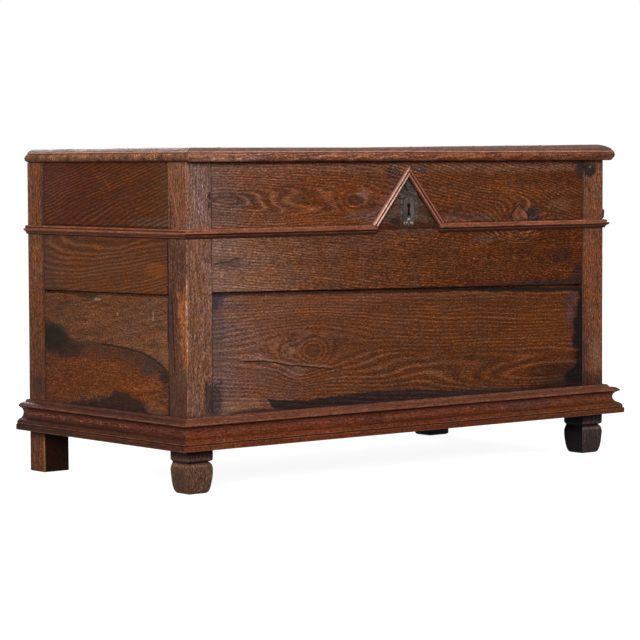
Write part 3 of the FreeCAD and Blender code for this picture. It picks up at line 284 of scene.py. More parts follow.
class Net:
    """Builds the nodes of one material."""

    def __init__(self, name):
        self.material = bpy.data.materials.new(name)
        self.material.use_nodes = True
        self.tree = self.material.node_tree
        self.shader = next(n for n in self.tree.nodes if n.type == "BSDF_PRINCIPLED")
        self.object = Val(self, self.node("TexCoord").outputs["Object"])
        self.x, self.y, self.z = self.split(self.object)

    def node(self, kind, **settings):
        node = self.tree.nodes.new("ShaderNode" + kind)
        for key, value in settings.items():
            setattr(node, key, value)
        return node

    def feed(self, socket, value):
        """Links a value to an input, or sets the input to a constant."""
        if isinstance(value, Val):
            self.tree.links.new(value.socket, socket)
        else:
            socket.default_value = value

    def math(self, operation, *values):
        node = self.node("Math", operation=operation)
        for i, value in enumerate(values):
            self.feed(node.inputs[i], value)
        return Val(self, node.outputs[0])

    def split(self, vector):
        node = self.node("SeparateXYZ")
        self.feed(node.inputs[0], vector)
        return [Val(self, socket) for socket in node.outputs]

    def join(self, x, y, z):
        node = self.node("CombineXYZ")
        for i, value in enumerate((x, y, z)):
            self.feed(node.inputs[i], value)
        return Val(self, node.outputs[0])

    def stretch(self, vector, scale, seed=0.0):
        """vector times scale, moved by a seed."""
        node = self.node("VectorMath", operation="MULTIPLY_ADD")
        self.feed(node.inputs[0], vector)
        node.inputs[1].default_value = scale
        node.inputs[2].default_value = (seed * 3.7, seed * 1.9 + 0.3, seed * 2.3 + 0.7)
        return Val(self, node.outputs[0])

    def noise(self, vector, scale, seed=0.0, detail=2.0, roughness=0.5):
        """Noise about zero, with this many cells per metre along each axis."""
        node = self.node("TexNoise")
        self.feed(node.inputs["Vector"], self.stretch(vector, scale, seed))
        node.inputs["Scale"].default_value = 1.0
        node.inputs["Detail"].default_value = detail
        node.inputs["Roughness"].default_value = roughness
        return Val(self, node.outputs[0]) - 0.5

    def mix(self, factor, a, b, blend="MIX"):
        """From colour a at factor 0 to colour b at 1."""
        node = self.node("Mix", data_type="RGBA", blend_type=blend)
        self.feed(node.inputs[0], factor)
        self.feed(node.inputs[6], a)
        self.feed(node.inputs[7], b)
        return Val(self, node.outputs[2])

    def palette(self, value, stops):
        """Colours in order of place along a value."""
        x0, dx = stops[0][0], stops[-1][0] - stops[0][0]
        node = self.node("ValToRGB")
        ramp = node.color_ramp
        for place, _ in stops[1:-1]:
            ramp.elements.new((place - x0) / dx)
        for element, (place, rgb) in zip(ramp.elements, stops):
            element.position = (place - x0) / dx
            element.color = linear(*rgb)
        self.feed(node.inputs[0], (value - x0) / dx)
        return Val(self, node.outputs[0])

    def tint(self, color, amount):
        """Darker for an amount below zero and lighter above it, as an exponent, warmer where darker."""
        node = self.node("VectorMath", operation="MULTIPLY")
        self.feed(node.inputs[0], color if isinstance(color, Val) else color[:3])
        self.feed(node.inputs[1], self.join((amount * 0.9).exp(), amount.exp(), (amount * 1.1).exp()))
        return Val(self, node.outputs[0])

    def finish(self, color, roughness, height, depth, specular, metallic=0.0):
        """Wires the shader up; depth is how far the bumps of the height stand out."""
        bump = self.node("Bump")
        bump.inputs["Distance"].default_value = depth
        bump.inputs["Strength"].default_value = 1.0
        self.feed(bump.inputs["Height"], height)
        self.tree.links.new(bump.outputs[0], self.shader.inputs["Normal"])
        self.feed(self.shader.inputs["Base Color"], color)
        self.feed(self.shader.inputs["Roughness"], roughness)
        self.shader.inputs["Specular IOR Level"].default_value = specular
        self.shader.inputs["Metallic"].default_value = metallic
        return self.material


LINE_FADE = 0.012
LINE_WANDER = 0.004


class Paint:
    """Local marks laid over the wood's colour. A mask is 0 to 1; places are in metres, u across the marked
    face and z up; strength is a number or a mask; keep is how far the wood's fine grain shows through."""

    def __init__(self, net, color, grain, rag, along="x"):
        self.net = net
        self.color = color
        self.grain = grain
        self.rag = rag
        self.x, self.y, self.z = net.x, net.y, net.z
        self.u = self.y if along == "y" else self.x

    def over(self, mask, rgb, keep=0.6):
        """Lays a colour on under a mask."""
        self.color = self.net.mix(mask, self.color, self.net.tint(linear(*rgb), self.grain * keep))

    def edge(self, value, start, end, rag):
        """0 before start and 1 past end, with a ragged border."""
        return (value + self.rag * rag).ramp(start, end)

    def stripe(self, value, wide, narrow, rag):
        """1 where value is within narrow of 0, and 0 past wide."""
        return (value + self.rag * rag).abs().ramp(wide, narrow)

    def bowl(self, u, at, size):
        """Square of the distance from a place, 1 at an ellipse's rim; size is half its width and height."""
        du, dv = (u - at[0]) / size[0], (self.z - at[1]) / size[1]
        return du * du + dv * dv

    def spot(self, u, at, size, soft=0.4, rag=1.0):
        """1 inside an ellipse with a ragged edge."""
        return self.edge(self.bowl(u, at, size), 1.0 + soft, 1.0 - soft, rag)

    def swirl(self, at, size, rings, rag):
        """Rings of grain round a place, from -1 to 1, with the bowl they lie in."""
        bowl = self.bowl(self.u, at, size)
        return (bowl ** 0.5 * rings + self.rag * rag).sin(), bowl

    def dab(self, at, size, strength, rgb, soft=0.4, rag=1.0, keep=0.6, u=None):
        """Lays a spot of colour on."""
        self.over(self.spot(u or self.u, at, size, soft, rag) * strength, rgb, keep)

    def line(self, points, width, soft, strength, rgb, keep=0.6):
        """Lays on a thin line through (u, z) points that fades out at its ends."""
        first, last = points[0][0], points[-1][0]
        ends = self.u.window(first, first + LINE_FADE, last - LINE_FADE, last)
        near = self.stripe(self.z - self.u.curve(points), width + soft, width * 0.4, LINE_WANDER)
        self.over(near * ends * strength, rgb, keep)


AXES = {"x": (0, 1, 2), "y": (1, 0, 2), "z": (2, 0, 1)}
COOL, WARM = (0.93, 1.0, 1.13, 1.0), (1.1, 1.0, 0.8, 1.0)
SOOT = (34, 24, 22)


def oak(name, along, seed, colors, pith=(0.0, 0.1), drift=(0.0, 0.0), spacing=5.0, knots=(), turn=False,
        contrast=1.0, streaks=0.7, lines=0.6, thin=0.3, rect=None, grime=0.75, paint=None,
        worn=(158, 104, 74), specular=0.035, depth=0.0006, span=(-9.0, 9.0), dip=None, outside=None):
    """Waxed old oak. along is the grain's axis, colors a palette along it, pith the tree's centre in the two
    other axes, drift its slope along the grain within span, dip a place from which it sinks at a slope; knots
    are (along, across, size, rings, stretch); grime gathers at the edges of rect; paint lays marks, kept
    off the inside by outside: (axis, inner, outer place)."""
    net = Net(name)
    xyz = (net.x, net.y, net.z)
    ia, ib, ic = AXES[along]
    if turn:
        ib, ic = ic, ib
    a, b, c = xyz[ia], xyz[ib], xyz[ic]
    grain = net.join(a, b, c)
    s = float(seed)

    # rings round a drifting pith, bent by slow noise and by knots
    bend = net.noise(grain, (2.2, 9.0, 9.0), s)
    ripple = net.noise(grain, (9.0, 26.0, 26.0), s + 3, detail=1.0)
    db = b - pith[0] - a * drift[0]
    dc = c - pith[1] - (a.max(span[0]).min(span[1]) if drift[1] else a) * drift[1]
    if dip:
        db = db + (a - dip[0]).max(0.0) * dip[1]
    swell, free, bold = 0.0, 1.0, 0.0
    for ka, kb, size, rings, stretch in knots:
        qa = (a - ka) / (size * stretch)
        qb = (b - kb) / size
        far = qa * qa + qb * qb
        flat = (far * -0.5).exp() * free
        db = db - (b - kb) * flat
        free = free - flat
        if rings:
            swell = (far * -1.0).exp() * rings + swell
            bold = (far * -0.5).exp().max(bold)
    swell = (bend * (32.0 / spacing) + ripple * (9.0 / spacing)) * (free * 0.8 + 0.2) + swell
    ring = (db * db + dc * dc) ** 0.5 / (spacing * MM) + swell
    wave = (ring * (2.0 * math.pi)).sin()
    vary = net.noise(net.join(ring * 0.4, a * 3.0, 0.0), (1.0, 1.0, 1.0), s, detail=1.0)
    pale = wave.ramp(thin, 1.0) * vary.ramp(-0.18, 0.14, 0.25, 1.0)
    early = wave.ramp(0.2, -0.9)

    # fibre, flecks, pores, mottling
    fibre = net.noise(grain, (34.0, 230.0, 230.0), s + 1, detail=3.0, roughness=0.6)
    streak = net.noise(grain, (3.0, 45.0, 45.0), s + 2, detail=3.0, roughness=0.55)
    pores = net.noise(grain, (60.0, 520.0, 520.0), s + 4, roughness=0.6)
    specks = net.noise(grain, (150.0, 340.0, 340.0), s + 5, detail=1.5, roughness=0.6)
    mottle = net.noise(grain, (4.0, 8.0, 8.0), s + 6, detail=3.0, roughness=0.6)
    patches = net.noise(grain, (14.0, 24.0, 24.0), s + 7, detail=3.0, roughness=0.6)
    rag = net.noise(net.object, (38.0, 38.0, 38.0), s + 8, detail=3.0, roughness=0.65)
    pore = pores.ramp(0.06, 0.2) * (early * 0.7 + 0.3)
    if isinstance(contrast, tuple):
        contrast = a.ramp(colors[0][0], colors[-1][0], *contrast)
    fine = (fibre * 1.8 + specks * 3.4) * contrast
    figure = (pale - early * 0.45) * lines * (bold * 0.45 + 1.0)
    value = fine + streak * contrast * streaks + mottle * 0.55 + figure - pore * 0.45

    color = net.palette(a, colors)
    hue = patches.ramp(-0.16, 0.16)
    color = net.mix(hue, net.mix(1.0, color, COOL, "MULTIPLY"), net.mix(1.0, color, WARM, "MULTIPLY"))
    color = net.tint(color, value)

    wear = Val(net, net.node("Attribute", attribute_name="wear").outputs["Fac"])
    rub = wear.ramp(0.3, 0.95) * patches.ramp(-0.1, 0.1)
    color = net.mix(rub * 0.55, color, net.tint(linear(*worn), fine * 0.6))
    marks = Paint(net, color, value, rag, along)
    if rect:
        a0, a1, b0, b1 = rect
        near = (a - a0).min(a1 - a).min((b - b0).min(b1 - b)) + rag * 0.02
        marks.over(near.ramp(0.007, -0.002) * grime, SOOT)
    if paint:
        paint(marks)
    if outside:
        face, inner, outer = outside
        marks.color = net.mix(xyz[face].ramp(inner, outer), color, marks.color)
    height = fibre * 0.5 + specks * 0.5 + pale * 0.25 - pore * 0.8 + streak * 0.3
    gloss = specks * 0.9 + mottle * 0.3 + pore * 0.25 + 0.48
    return net.finish(marks.color, gloss.max(0.3).min(0.9), height, depth, specular)


def iron(name, seed=0.0, base=(52, 43, 38), rust=(66, 43, 32), bright=(104, 96, 88), spread=0.1, paint=None):
    """Old wrought iron: dark patina, rust in patches, hammer marks and pits."""
    net = Net(name)
    p = net.object
    blotch = net.noise(p, (60.0, 60.0, 60.0), seed, detail=4.0, roughness=0.65)
    pits = net.noise(p, (420.0, 420.0, 420.0), seed + 1, detail=3.0, roughness=0.7)
    marks = net.noise(p, (130.0, 130.0, 130.0), seed + 2, detail=1.0)
    color = net.mix(blotch.ramp(-0.08, 0.16), linear(*base), linear(*rust))
    color = net.mix(pits.ramp(spread, spread + 0.18) * 0.55, color, linear(*bright))
    color = net.tint(color, pits * 2.0 + marks * 0.8)
    coat = Paint(net, color, pits * 2.0, blotch)
    if paint:
        paint(coat)
    gloss = blotch.ramp(-0.1, 0.16, 0.45, 0.8) + pits * 0.3
    return net.finish(coat.color, gloss.max(0.3).min(1.0), marks * 0.7 + pits * 0.5, 0.0007, 0.3, 0.35)


# ---------------------------------------------------------------- marks seen on the old chest
# The V: its point, how far its legs spread and rise, and the direction across a leg.
VEE_X, VEE_Z, VEE_HALF, VEE_TALL = -0.003, 0.679, 0.128, 0.154
LEG_UP, LEG_OUT = 0.769, 0.639
# the black of painted shadow and shade on the feet, under the moulding and in the groove
PAINTED_SHADE_BLACK = (16, 10, 9)


def across_leg(m, side):
    """Distance inwards from a leg's outer edge; side is -1 for the left leg and 1 for the right one."""
    return (m.x * -side + VEE_X * side + VEE_HALF) * LEG_UP - (m.z - VEE_Z) * LEG_OUT


def left_face(m, post_left):
    """1 on the left face of a front post and 0 on its front."""
    return (m.y - FRONT * MM - (m.x - post_left * MM)).ramp(-0.001, 0.002)


def on_foot(m):
    """1 below the base moulding."""
    return m.z.ramp(0.12, 0.112)


def mark_front_lower(m):
    x, z = m.x, m.z
    # painted sheen, a greyish reflection at the left end; dark stains in its corners
    m.over(m.edge(x, -0.56, -0.67, 0.16) * 0.45, (96, 78, 74))
    m.over(m.edge((x + 0.672) * 1.15 + (0.512 - z) * 0.95, 0.078, 0.034, 0.06) * 0.9, (52, 49, 53))
    m.over(m.edge(x, -0.63, -0.65, 0.05) * m.edge(z, 0.315, 0.262, 0.06) * 0.8, (52, 43, 45), 1.2)
    m.dab((-0.66, 0.4), (0.03, 0.1), 0.35, (52, 46, 50), 0.6)
    # damp wedge along the foot of the board, a dark sliver left of it
    top = z - x.curve([(-0.5, 0.225), (-0.489, 0.2325), (-0.462, 0.227), (-0.418, 0.225), (-0.346, 0.2205),
                       (-0.227, 0.2275), (-0.1, 0.23), (0.04, 0.2239), (0.341, 0.2088), (0.5, 0.207),
                       (0.6, 0.219), (0.67, 0.228)])
    low = z - x.curve([(-0.494, 0.232), (-0.484, 0.222), (-0.474, 0.2085), (-0.462, 0.2015), (-0.44, 0.197),
                       (0.67, 0.17)])
    m.over(m.edge(top, 0.0024, -0.0024, 0.012) * m.edge(low, -0.004, 0.005, 0.03) * 0.94, (34, 26, 27), 0.9)
    sliver = z - x.curve([(-0.66, 0.2005), (-0.6, 0.2055), (-0.549, 0.2135), (-0.51, 0.2085),
                          (-0.45, 0.2035), (-0.4, 0.199)])
    m.over(m.edge(sliver, 0.0015, -0.0015, 0.008) * x.ramp(-0.64, -0.6) * 0.8, (44, 29, 26), 0.8)
    m.dab((-0.575, 0.222), (0.06, 0.016), 0.35, (134, 92, 62), 0.7)
    m.over(m.edge(top, 0.03, 0.0, 0.012) * x.ramp(-0.2, 0.1) * 0.3, (60, 40, 34))
    # dark right end
    end = x - z.curve([(0.2, 0.61), (0.235, 0.59), (0.26, 0.64), (0.332, 0.63), (0.4, 0.636),
                       (0.45, 0.652), (0.5, 0.656)])
    m.dab((0.63, 0.43), (0.03, 0.06), 0.35, (72, 56, 62), 0.7)
    m.over(m.edge(end, -0.06, 0.0, 0.08) * 0.35, (70, 46, 44))
    m.dab((0.57, 0.235), (0.11, 0.045), 0.6, (50, 30, 22), 0.7, 1.8, 1.0)
    m.over(m.edge(end, -0.014, 0.01, 0.05) * 0.96, (15, 10, 9), 0.9)
    m.over(m.edge(z, 0.222, 0.203, 0.02) * x.ramp(0.36, 0.52) * 0.8, (32, 18, 14), 0.8)
    # knot, its eye and the crack under it
    m.dab((-0.337, 0.351), (0.016, 0.011), 0.55, (62, 36, 24), 0.5, 0.5)
    m.dab((-0.414, 0.354), (0.016, 0.012), 0.35, (122, 92, 72), 0.6)
    m.dab((-0.395, 0.298), (0.035, 0.012), 0.35, (128, 92, 76), 0.7)
    crack = [(-0.575, 0.334), (-0.508, 0.332), (-0.465, 0.326), (-0.415, 0.3155), (-0.364, 0.31),
             (-0.32, 0.305), (-0.27, 0.2985)]
    m.line([(a, b + 0.0045) for a, b in crack], 0.0022, 0.002, 0.45, (140, 104, 84))
    m.line(crack, 0.0016, 0.0012, 0.9, (26, 17, 15), 0.3)
    # the upper arris: dark with painted shade where it has worn back into the seam, pale just under it
    m.over(m.edge(m.y - FRONT * MM, 0.001, 0.0032, 0.004) * z.ramp(0.46, 0.47) * 0.92, (26, 18, 17), 0.3)
    brim = z - x.curve([(-0.668, 0.5055), (-0.545, 0.5034), (-0.345, 0.498), (-0.07, 0.4931), (0.22, 0.4878),
                        (0.37, 0.48), (0.52, 0.475), (0.6, 0.4775), (0.63, 0.474), (0.668, 0.47)])
    m.over(m.edge(z, 0.466, 0.482, 0.02) * x.window(-0.6, -0.45, 0.62, 0.66) * 0.3, (122, 74, 46))
    m.over(m.edge(brim, -0.0012, 0.0012, 0.012) * x.ramp(-0.15, 0.15, 0.75, 0.92), (30, 21, 19), 0.5)


def mark_front_middle(m):
    x, z = m.x, m.z
    # painted sheen: a greyish reflection at the left end
    m.over(m.edge(x, -0.52, -0.67, 0.16) * 0.4, (112, 86, 80))
    lip = z - x.curve([(-0.668, 0.5165), (0.668, 0.4945)])
    m.over(m.edge(lip, 0.002, 0.0005, 0.002) * 0.8, (26, 17, 14), 0.4)
    crack = [(-0.668, 0.586), (-0.64, 0.591), (-0.617, 0.593), (-0.595, 0.6), (-0.572, 0.603)]
    m.line(crack, 0.0018, 0.001, 0.8, (40, 26, 24), 0.4)
    m.dab((-0.615, 0.588), (0.045, 0.016), 0.35, (66, 46, 42), 0.6)
    m.dab((0.576, 0.583), (0.05, 0.022), 0.45, (44, 28, 22), 0.6)
    m.dab((0.1, 0.59), (0.09, 0.03), 0.25, (60, 36, 26), 0.8)
    m.dab((-0.18, 0.63), (0.1, 0.02), 0.28, (86, 58, 50), 0.8)
    m.dab((0.28, 0.632), (0.045, 0.013), 0.3, (104, 76, 70), 0.6)
    swirl, bowl = m.swirl((0.403, 0.655), (0.085, 0.04), 22.0, 2.0)
    m.over(swirl.ramp(0.2, 0.9) * bowl.ramp(1.3, 0.7) * 0.35, (124, 84, 66))
    # patina between the legs of the V, dark along the foot at the right end
    between = m.edge(x, -0.13, -0.1, 0.05) * m.edge(x, 0.13, 0.1, 0.05) * z.ramp(0.64, 0.655)
    m.over(between * 0.4, (66, 48, 42))
    m.over(m.edge(z, 0.52, 0.502, 0.02) * x.ramp(0.1, 0.5) * 0.75, (42, 29, 28), 0.4)
    m.dab((0.655, 0.525), (0.03, 0.03), 0.8, (40, 28, 28), 0.6)


def around_keyhole(m):
    """1 in and just round the keyhole."""
    wide = m.z.curve([(0.699, 0.0068), (0.703, 0.0068), (0.713, 0.004), (0.722, 0.004), (0.725, 0.0065),
                      (0.731, 0.007), (0.7345, 0.0045), (0.737, 0.0)])
    return (m.x.abs() - wide).ramp(0.0012, -0.0004) * m.z.window(0.6995, 0.7005, 0.7355, 0.7365)


def mark_escutcheon(m):
    m.dab((0.01, 0.716), (0.01, 0.022), 0.5, (100, 86, 84), 0.7)
    m.dab((-0.012, 0.7), (0.01, 0.016), 0.6, (30, 26, 28), 0.7, 2.0)
    m.dab((-0.003, 0.746), (0.014, 0.004), 0.35, (104, 98, 84), 0.8, 2.5)
    m.over(m.rag.ramp(0.05, -0.12) * m.edge(m.x, 0.01, 0.0, 0.02) * 0.5, (40, 34, 34))
    m.dab((-0.0008, 0.6905), (0.0046, 0.0038), 0.75, (196, 186, 178), 0.5, 0.5, 0.2)
    for nail in ((-0.0157, 0.6825), (-0.0067, 0.6835), (0.0074, 0.6832), (0.0125, 0.6822)):
        m.dab(nail, (0.003, 0.0024), 0.7, (158, 146, 140), 0.5, 0.6, 0.3)
    # the keyhole and its rim painted black, painted shade in the hole
    m.over(around_keyhole(m) * 0.95, (8, 6, 6), 0.2)


def mark_inside_vee(m):
    """Dark patina inside the V, scalloped below, and the stains on it."""
    x, z = m.x, m.z
    inside = ((x - VEE_X).abs() / VEE_HALF + (z - VEE_Z) / VEE_TALL).ramp(1.0, 0.95) * z.ramp(0.675, 0.683)
    m.over(inside * 0.7, (66, 50, 42), 1.0)
    plate = m.edge((x + 0.002).abs(), 0.036, 0.026, 0.014) * m.edge(z, 0.69, 0.7, 0.02) * inside
    m.over(plate * 0.85, (58, 50, 47), 1.2)
    m.over(plate * m.rag.ramp(-0.12, 0.12) * 0.5, (78, 70, 66), 1.2)
    m.dab((0.024, 0.72), (0.014, 0.03), inside * 0.5, (92, 78, 76), 0.6)
    m.dab((-0.012, 0.787), (0.022, 0.024), 0.6, (62, 60, 48), 0.5)
    bent = x - z.curve([(0.768, -0.005), (0.778, -0.008), (0.785, -0.017), (0.79, -0.013), (0.8, -0.009)])
    gap = m.stripe(bent, 0.0044, 0.002, 0.004) * z.window(0.767, 0.772, 0.794, 0.799)
    m.over(gap * 0.95, (14, 10, 9), 0.3)
    m.dab((-0.046, 0.688), (0.02, 0.01), 0.8, (34, 29, 29), 0.7, 2.4)
    # painted shadow beside the inner edge of the right leg
    shade = m.stripe(across_leg(m, 1.0) - 0.0168, 0.003, 0.0008, 0.003)
    m.over(shade * z.ramp(0.675, 0.685) * x.ramp(-0.003, 0.002) * 0.85, (18, 12, 10), 0.3)
    # the keyhole and its rim painted black, painted shade in the hole
    m.over(around_keyhole(m) * 0.9, (12, 9, 9), 0.3)


def mark_let_in_patch(m):
    """The let-in patch over the waist moulding, its outline, the grey beside it and the grain round it."""
    x, z = m.x, m.z
    m.dab((0.466, 0.699), (0.032, 0.022), 0.85, (40, 34, 35), 0.7, 2.2, 1.0)
    m.dab((0.372, 0.692), (0.02, 0.01), 0.6, (46, 34, 32), 0.6, 1.5)
    upper_left = (x - 0.416) * 0.649 - (z - 0.726) * 0.762
    upper_right = (0.416 - x) * 0.64 - (z - 0.726) * 0.768
    lower_left = x - 0.3845 + (z - 0.6996) * 0.45
    body = upper_left.min(upper_right).min(lower_left).min(0.4495 - x)
    m.over(m.edge(body, -0.0045, -0.0015, 0.004) * 0.9, (32, 21, 19), 0.3)
    m.over(m.edge(body, 0.0005, 0.003, 0.004) * 0.95, (112, 64, 46), 0.6)
    swirl, bowl = m.swirl((0.428, 0.7), (0.17, 0.065), 62.0, 3.0)
    reach = bowl.window(0.03, 0.1, 0.25, 1.2) * 0.18
    m.over(swirl.ramp(0.3, 0.9) * reach, (124, 80, 56))
    m.over(swirl.ramp(-0.3, -0.9) * reach, (52, 30, 22))


def mark_front_upper(m):
    x, z = m.x, m.z
    # painted sheen: a greyish reflection at the left end
    m.over(m.edge(x, -0.54, -0.67, 0.16) * 0.45, (104, 80, 76))
    m.dab((-0.585, 0.755), (0.075, 0.02), 0.45, (66, 50, 48), 0.6)
    # figure left of the V
    m.dab((-0.19, 0.747), (0.04, 0.014), 0.55, (58, 34, 24), 0.6)
    m.dab((-0.16, 0.757), (0.022, 0.016), 0.35, (112, 78, 68), 0.6)
    m.dab((-0.42, 0.748), (0.05, 0.008), 0.35, (128, 84, 56), 0.6)
    # grey bloom along the V and over the waist moulding
    m.dab((-0.1, 0.705), (0.12, 0.016), 0.4, (96, 72, 66), 0.7)
    slope = (z - VEE_Z) / VEE_TALL - (x - VEE_X + VEE_HALF) / VEE_HALF
    bloom = m.edge(slope.abs(), 0.3, 0.08, 0.12) * x.ramp(0.0, -0.02) * z.ramp(0.83, 0.8)
    m.over(bloom * 0.35, (92, 66, 58))
    m.dab((0.21, 0.695), (0.13, 0.012), 0.35, (84, 62, 58), 0.7)
    mark_inside_vee(m)
    # rust stains round the two nails over the V
    for at, size in (((-0.0536, 0.8234), 0.027), ((0.0456, 0.8291), 0.02)):
        around = m.spot(x, at, (size, size * 0.75), 0.8, 2.4)
        m.over(around * 0.75, (54, 41, 38), 1.2)
        m.over(around * m.grain.ramp(0.0, -0.25) * 0.9, (14, 10, 10), 0.3)
        m.over(around * m.grain.ramp(0.4, 0.6) * 0.35, (124, 106, 100), 0.3)
    mark_let_in_patch(m)
    m.dab((0.576, 0.722), (0.045, 0.02), 0.3, (110, 76, 58), 0.7)
    # a paler band under the lid: painted light that offsets the shade of its overhang
    m.over(m.edge(z, 0.805, 0.835, 0.02) * 0.4, (122, 84, 66), 1.0)
    # a dark line over the waist moulding: its seam and painted shade
    m.over(m.edge(z, 0.6855, 0.681, 0.006) * x.ramp(-0.5, 0.3, 0.2, 0.6), (56, 26, 16), 0.6)
    # dark corner by the right post
    m.dab((0.668, 0.826), (0.034, 0.03), 0.8, (44, 36, 34), 0.5, 1.4)
    m.over(m.edge(x, 0.65, 0.664, 0.04) * z.ramp(0.77, 0.82) * 0.6, (46, 32, 28))
    m.dab((0.235, 0.72), (0.09, 0.03), 0.22, (58, 34, 24), 0.8)


def side_seams(m, at_seam):
    """Dark where the board meets the posts, and black inside the seam as painted shade."""
    m.over(m.edge(m.y, -0.2655, -0.2705, 0.008) * 0.9, (24, 16, 14), 0.4)
    m.over(m.edge(m.y, 0.2985, 0.3035, 0.008) * 0.8, (24, 16, 14), 0.4)
    # painted shade: the tongue and faces inside the seam painted black
    m.over(m.edge(m.x + HALF * MM, 0.003, 0.006, 0.002) * at_seam * 0.98, (6, 4, 4), 0.2)


def mark_left_lower(m):
    y, z = m.y, m.z
    split = [(-273.0, 310.0), (-268.0, 312.0)] + LEFT_SPLIT
    below = z - y.curve([(u * MM, v * MM) for u, v in split]) + m.rag * 0.02
    # the lower half is bare, warm and lit; a dark band of painted shade runs under the split, between the
    # halves
    m.over(below.ramp(0.004, -0.01) * 0.65, (80, 40, 17), 0.9)
    m.dab((0.045, 0.29), (0.13, 0.042), 0.6, (110, 56, 22), 0.9, keep=0.9)
    m.dab((-0.13, 0.262), (0.11, 0.036), 0.65, (110, 55, 21), 0.9, keep=0.9)
    m.dab((0.22, 0.245), (0.08, 0.034), 0.45, (112, 55, 22), 0.9, keep=0.9)
    band = below.ramp(0.005, -0.004) * below.ramp(-0.05, -0.012)
    m.over(band * (m.rag + 0.55), (56, 38, 29))
    m.dab((0.262, 0.372), (0.064, 0.042), 0.94, (30, 22, 14), 0.7, 2.0)
    m.dab((0.19, 0.345), (0.07, 0.02), 0.75, (36, 23, 15), 0.8, 2.0)
    m.dab((-0.196, 0.326), (0.046, 0.028), 0.7, (60, 47, 40), 0.4, 0.8, u=y + (z - 0.325) * 1.15)
    m.dab((-0.25, 0.296), (0.022, 0.02), 0.7, (36, 25, 22), 0.6)
    foot = z - y.curve([(-0.25, 0.199), (-0.232, 0.208), (-0.179, 0.225), (-0.121, 0.237), (-0.06, 0.253),
                        (-0.02, 0.25), (0.02, 0.226), (0.11, 0.213), (0.173, 0.205), (0.22, 0.199)])
    m.over(m.edge(foot, 0.007, -0.01, 0.045) * 0.88, (40, 25, 21))
    m.dab((0.04, 0.208), (0.1, 0.012), 0.6, (44, 28, 24), 0.6, 1.3)
    m.dab((-0.215, 0.212), (0.05, 0.016), 0.4, (130, 84, 56), 0.6)
    crack = [(-0.268, 0.3105), (-0.212, 0.339), (-0.15, 0.356), (-0.078, 0.364), (0.0375, 0.369)]
    m.line(crack, 0.0026, 0.002, 0.9, (24, 17, 14), 0.3)
    side_seams(m, z.ramp(0.492, 0.4945))
    # upper half: pale scratches, dark stains
    m.dab((0.0495, 0.487), (0.016, 0.004), 0.6, (150, 128, 110), 0.6)
    m.dab((-0.205, 0.452), (0.0025, 0.014), 0.6, (150, 130, 108), 0.6)
    m.dab((-0.045, 0.452), (0.004, 0.005), 0.6, (158, 138, 116), 0.6)
    m.dab((0.09, 0.497), (0.05, 0.009), 0.75, (38, 28, 26), 0.6, 1.5)
    m.dab((0.12, 0.43), (0.03, 0.006), 0.45, (52, 32, 24), 0.7, 1.6)
    m.dab((0.235, 0.455), (0.02, 0.006), 0.45, (52, 32, 24), 0.7, 1.6)
    m.dab((-0.215, 0.372), (0.022, 0.022), 0.45, (54, 36, 28), 0.7, 1.6)
    pale = m.edge(z, 0.4, 0.36, 0.02) * y.ramp(-0.05, -0.24) * below.ramp(-0.004, 0.006)
    m.over(pale * 0.3, (134, 90, 60))


def mark_left_middle(m):
    m.over(m.edge(m.y, 0.225, 0.285, 0.06) * 0.5, (74, 48, 42))
    m.dab((-0.215, 0.573), (0.05, 0.018), 0.5, (122, 66, 34), 0.6, 1.4)
    side_seams(m, m.z.ramp(0.512, 0.51))
    # darker just under the waist moulding: painted shade
    m.over(m.edge(m.z, 0.64, 0.654, 0.03) * 0.35, (56, 34, 26))


def mark_left_upper(m):
    m.over(m.edge(m.y, -0.2, -0.262, 0.1) * 0.25, (84, 58, 36))
    # a dark line over the waist moulding: its seam and painted shade
    m.over(m.edge(m.z, 0.6865, 0.682, 0.006) * 0.75, (42, 20, 14), 0.6)
    m.dab((0.245, 0.8), (0.07, 0.05), 0.35, (78, 46, 38), 0.8)
    m.over(m.edge(m.y, 0.288, 0.303, 0.03) * 0.6, (48, 30, 30))
    m.dab((-0.2, 0.695), (0.1, 0.012), 0.4, (70, 56, 46), 0.7)
    m.line([(-0.018, 0.779), (0.0, 0.793), (0.012, 0.806), (0.02, 0.812)], 0.001, 0.001, 0.4, (150, 118, 96))


def foot_lines(m):
    """Front feet: black under the moulding and in the groove, painted shadow and shade; light on the
    shoulder, a painted highlight, and on the block's rim.
    """
    front = m.y.ramp(0.1, 0.0)
    # painted shadow under the moulding and painted shade in the groove
    m.over(front * m.edge(m.z, 0.101, 0.109, 0.01) * m.z.ramp(0.1185, 0.1165) * 0.9, PAINTED_SHADE_BLACK, 0.3)
    m.over(front * m.stripe(m.z - 0.0825, 0.0036, 0.0016, 0.002) * 0.9, PAINTED_SHADE_BLACK, 0.3)
    # pale on the bulb's shoulder, a painted highlight, and on the block's rim
    for at, wide, rag, rgb in ((0.0735, 0.005, 0.004, (150, 116, 92)),
                               (0.0905, 0.004, 0.003, (112, 88, 76))):
        m.over(front * m.stripe(m.z - at, wide, 0.001, rag) * (m.rag + 0.5) * 0.6, rgb, 0.8)


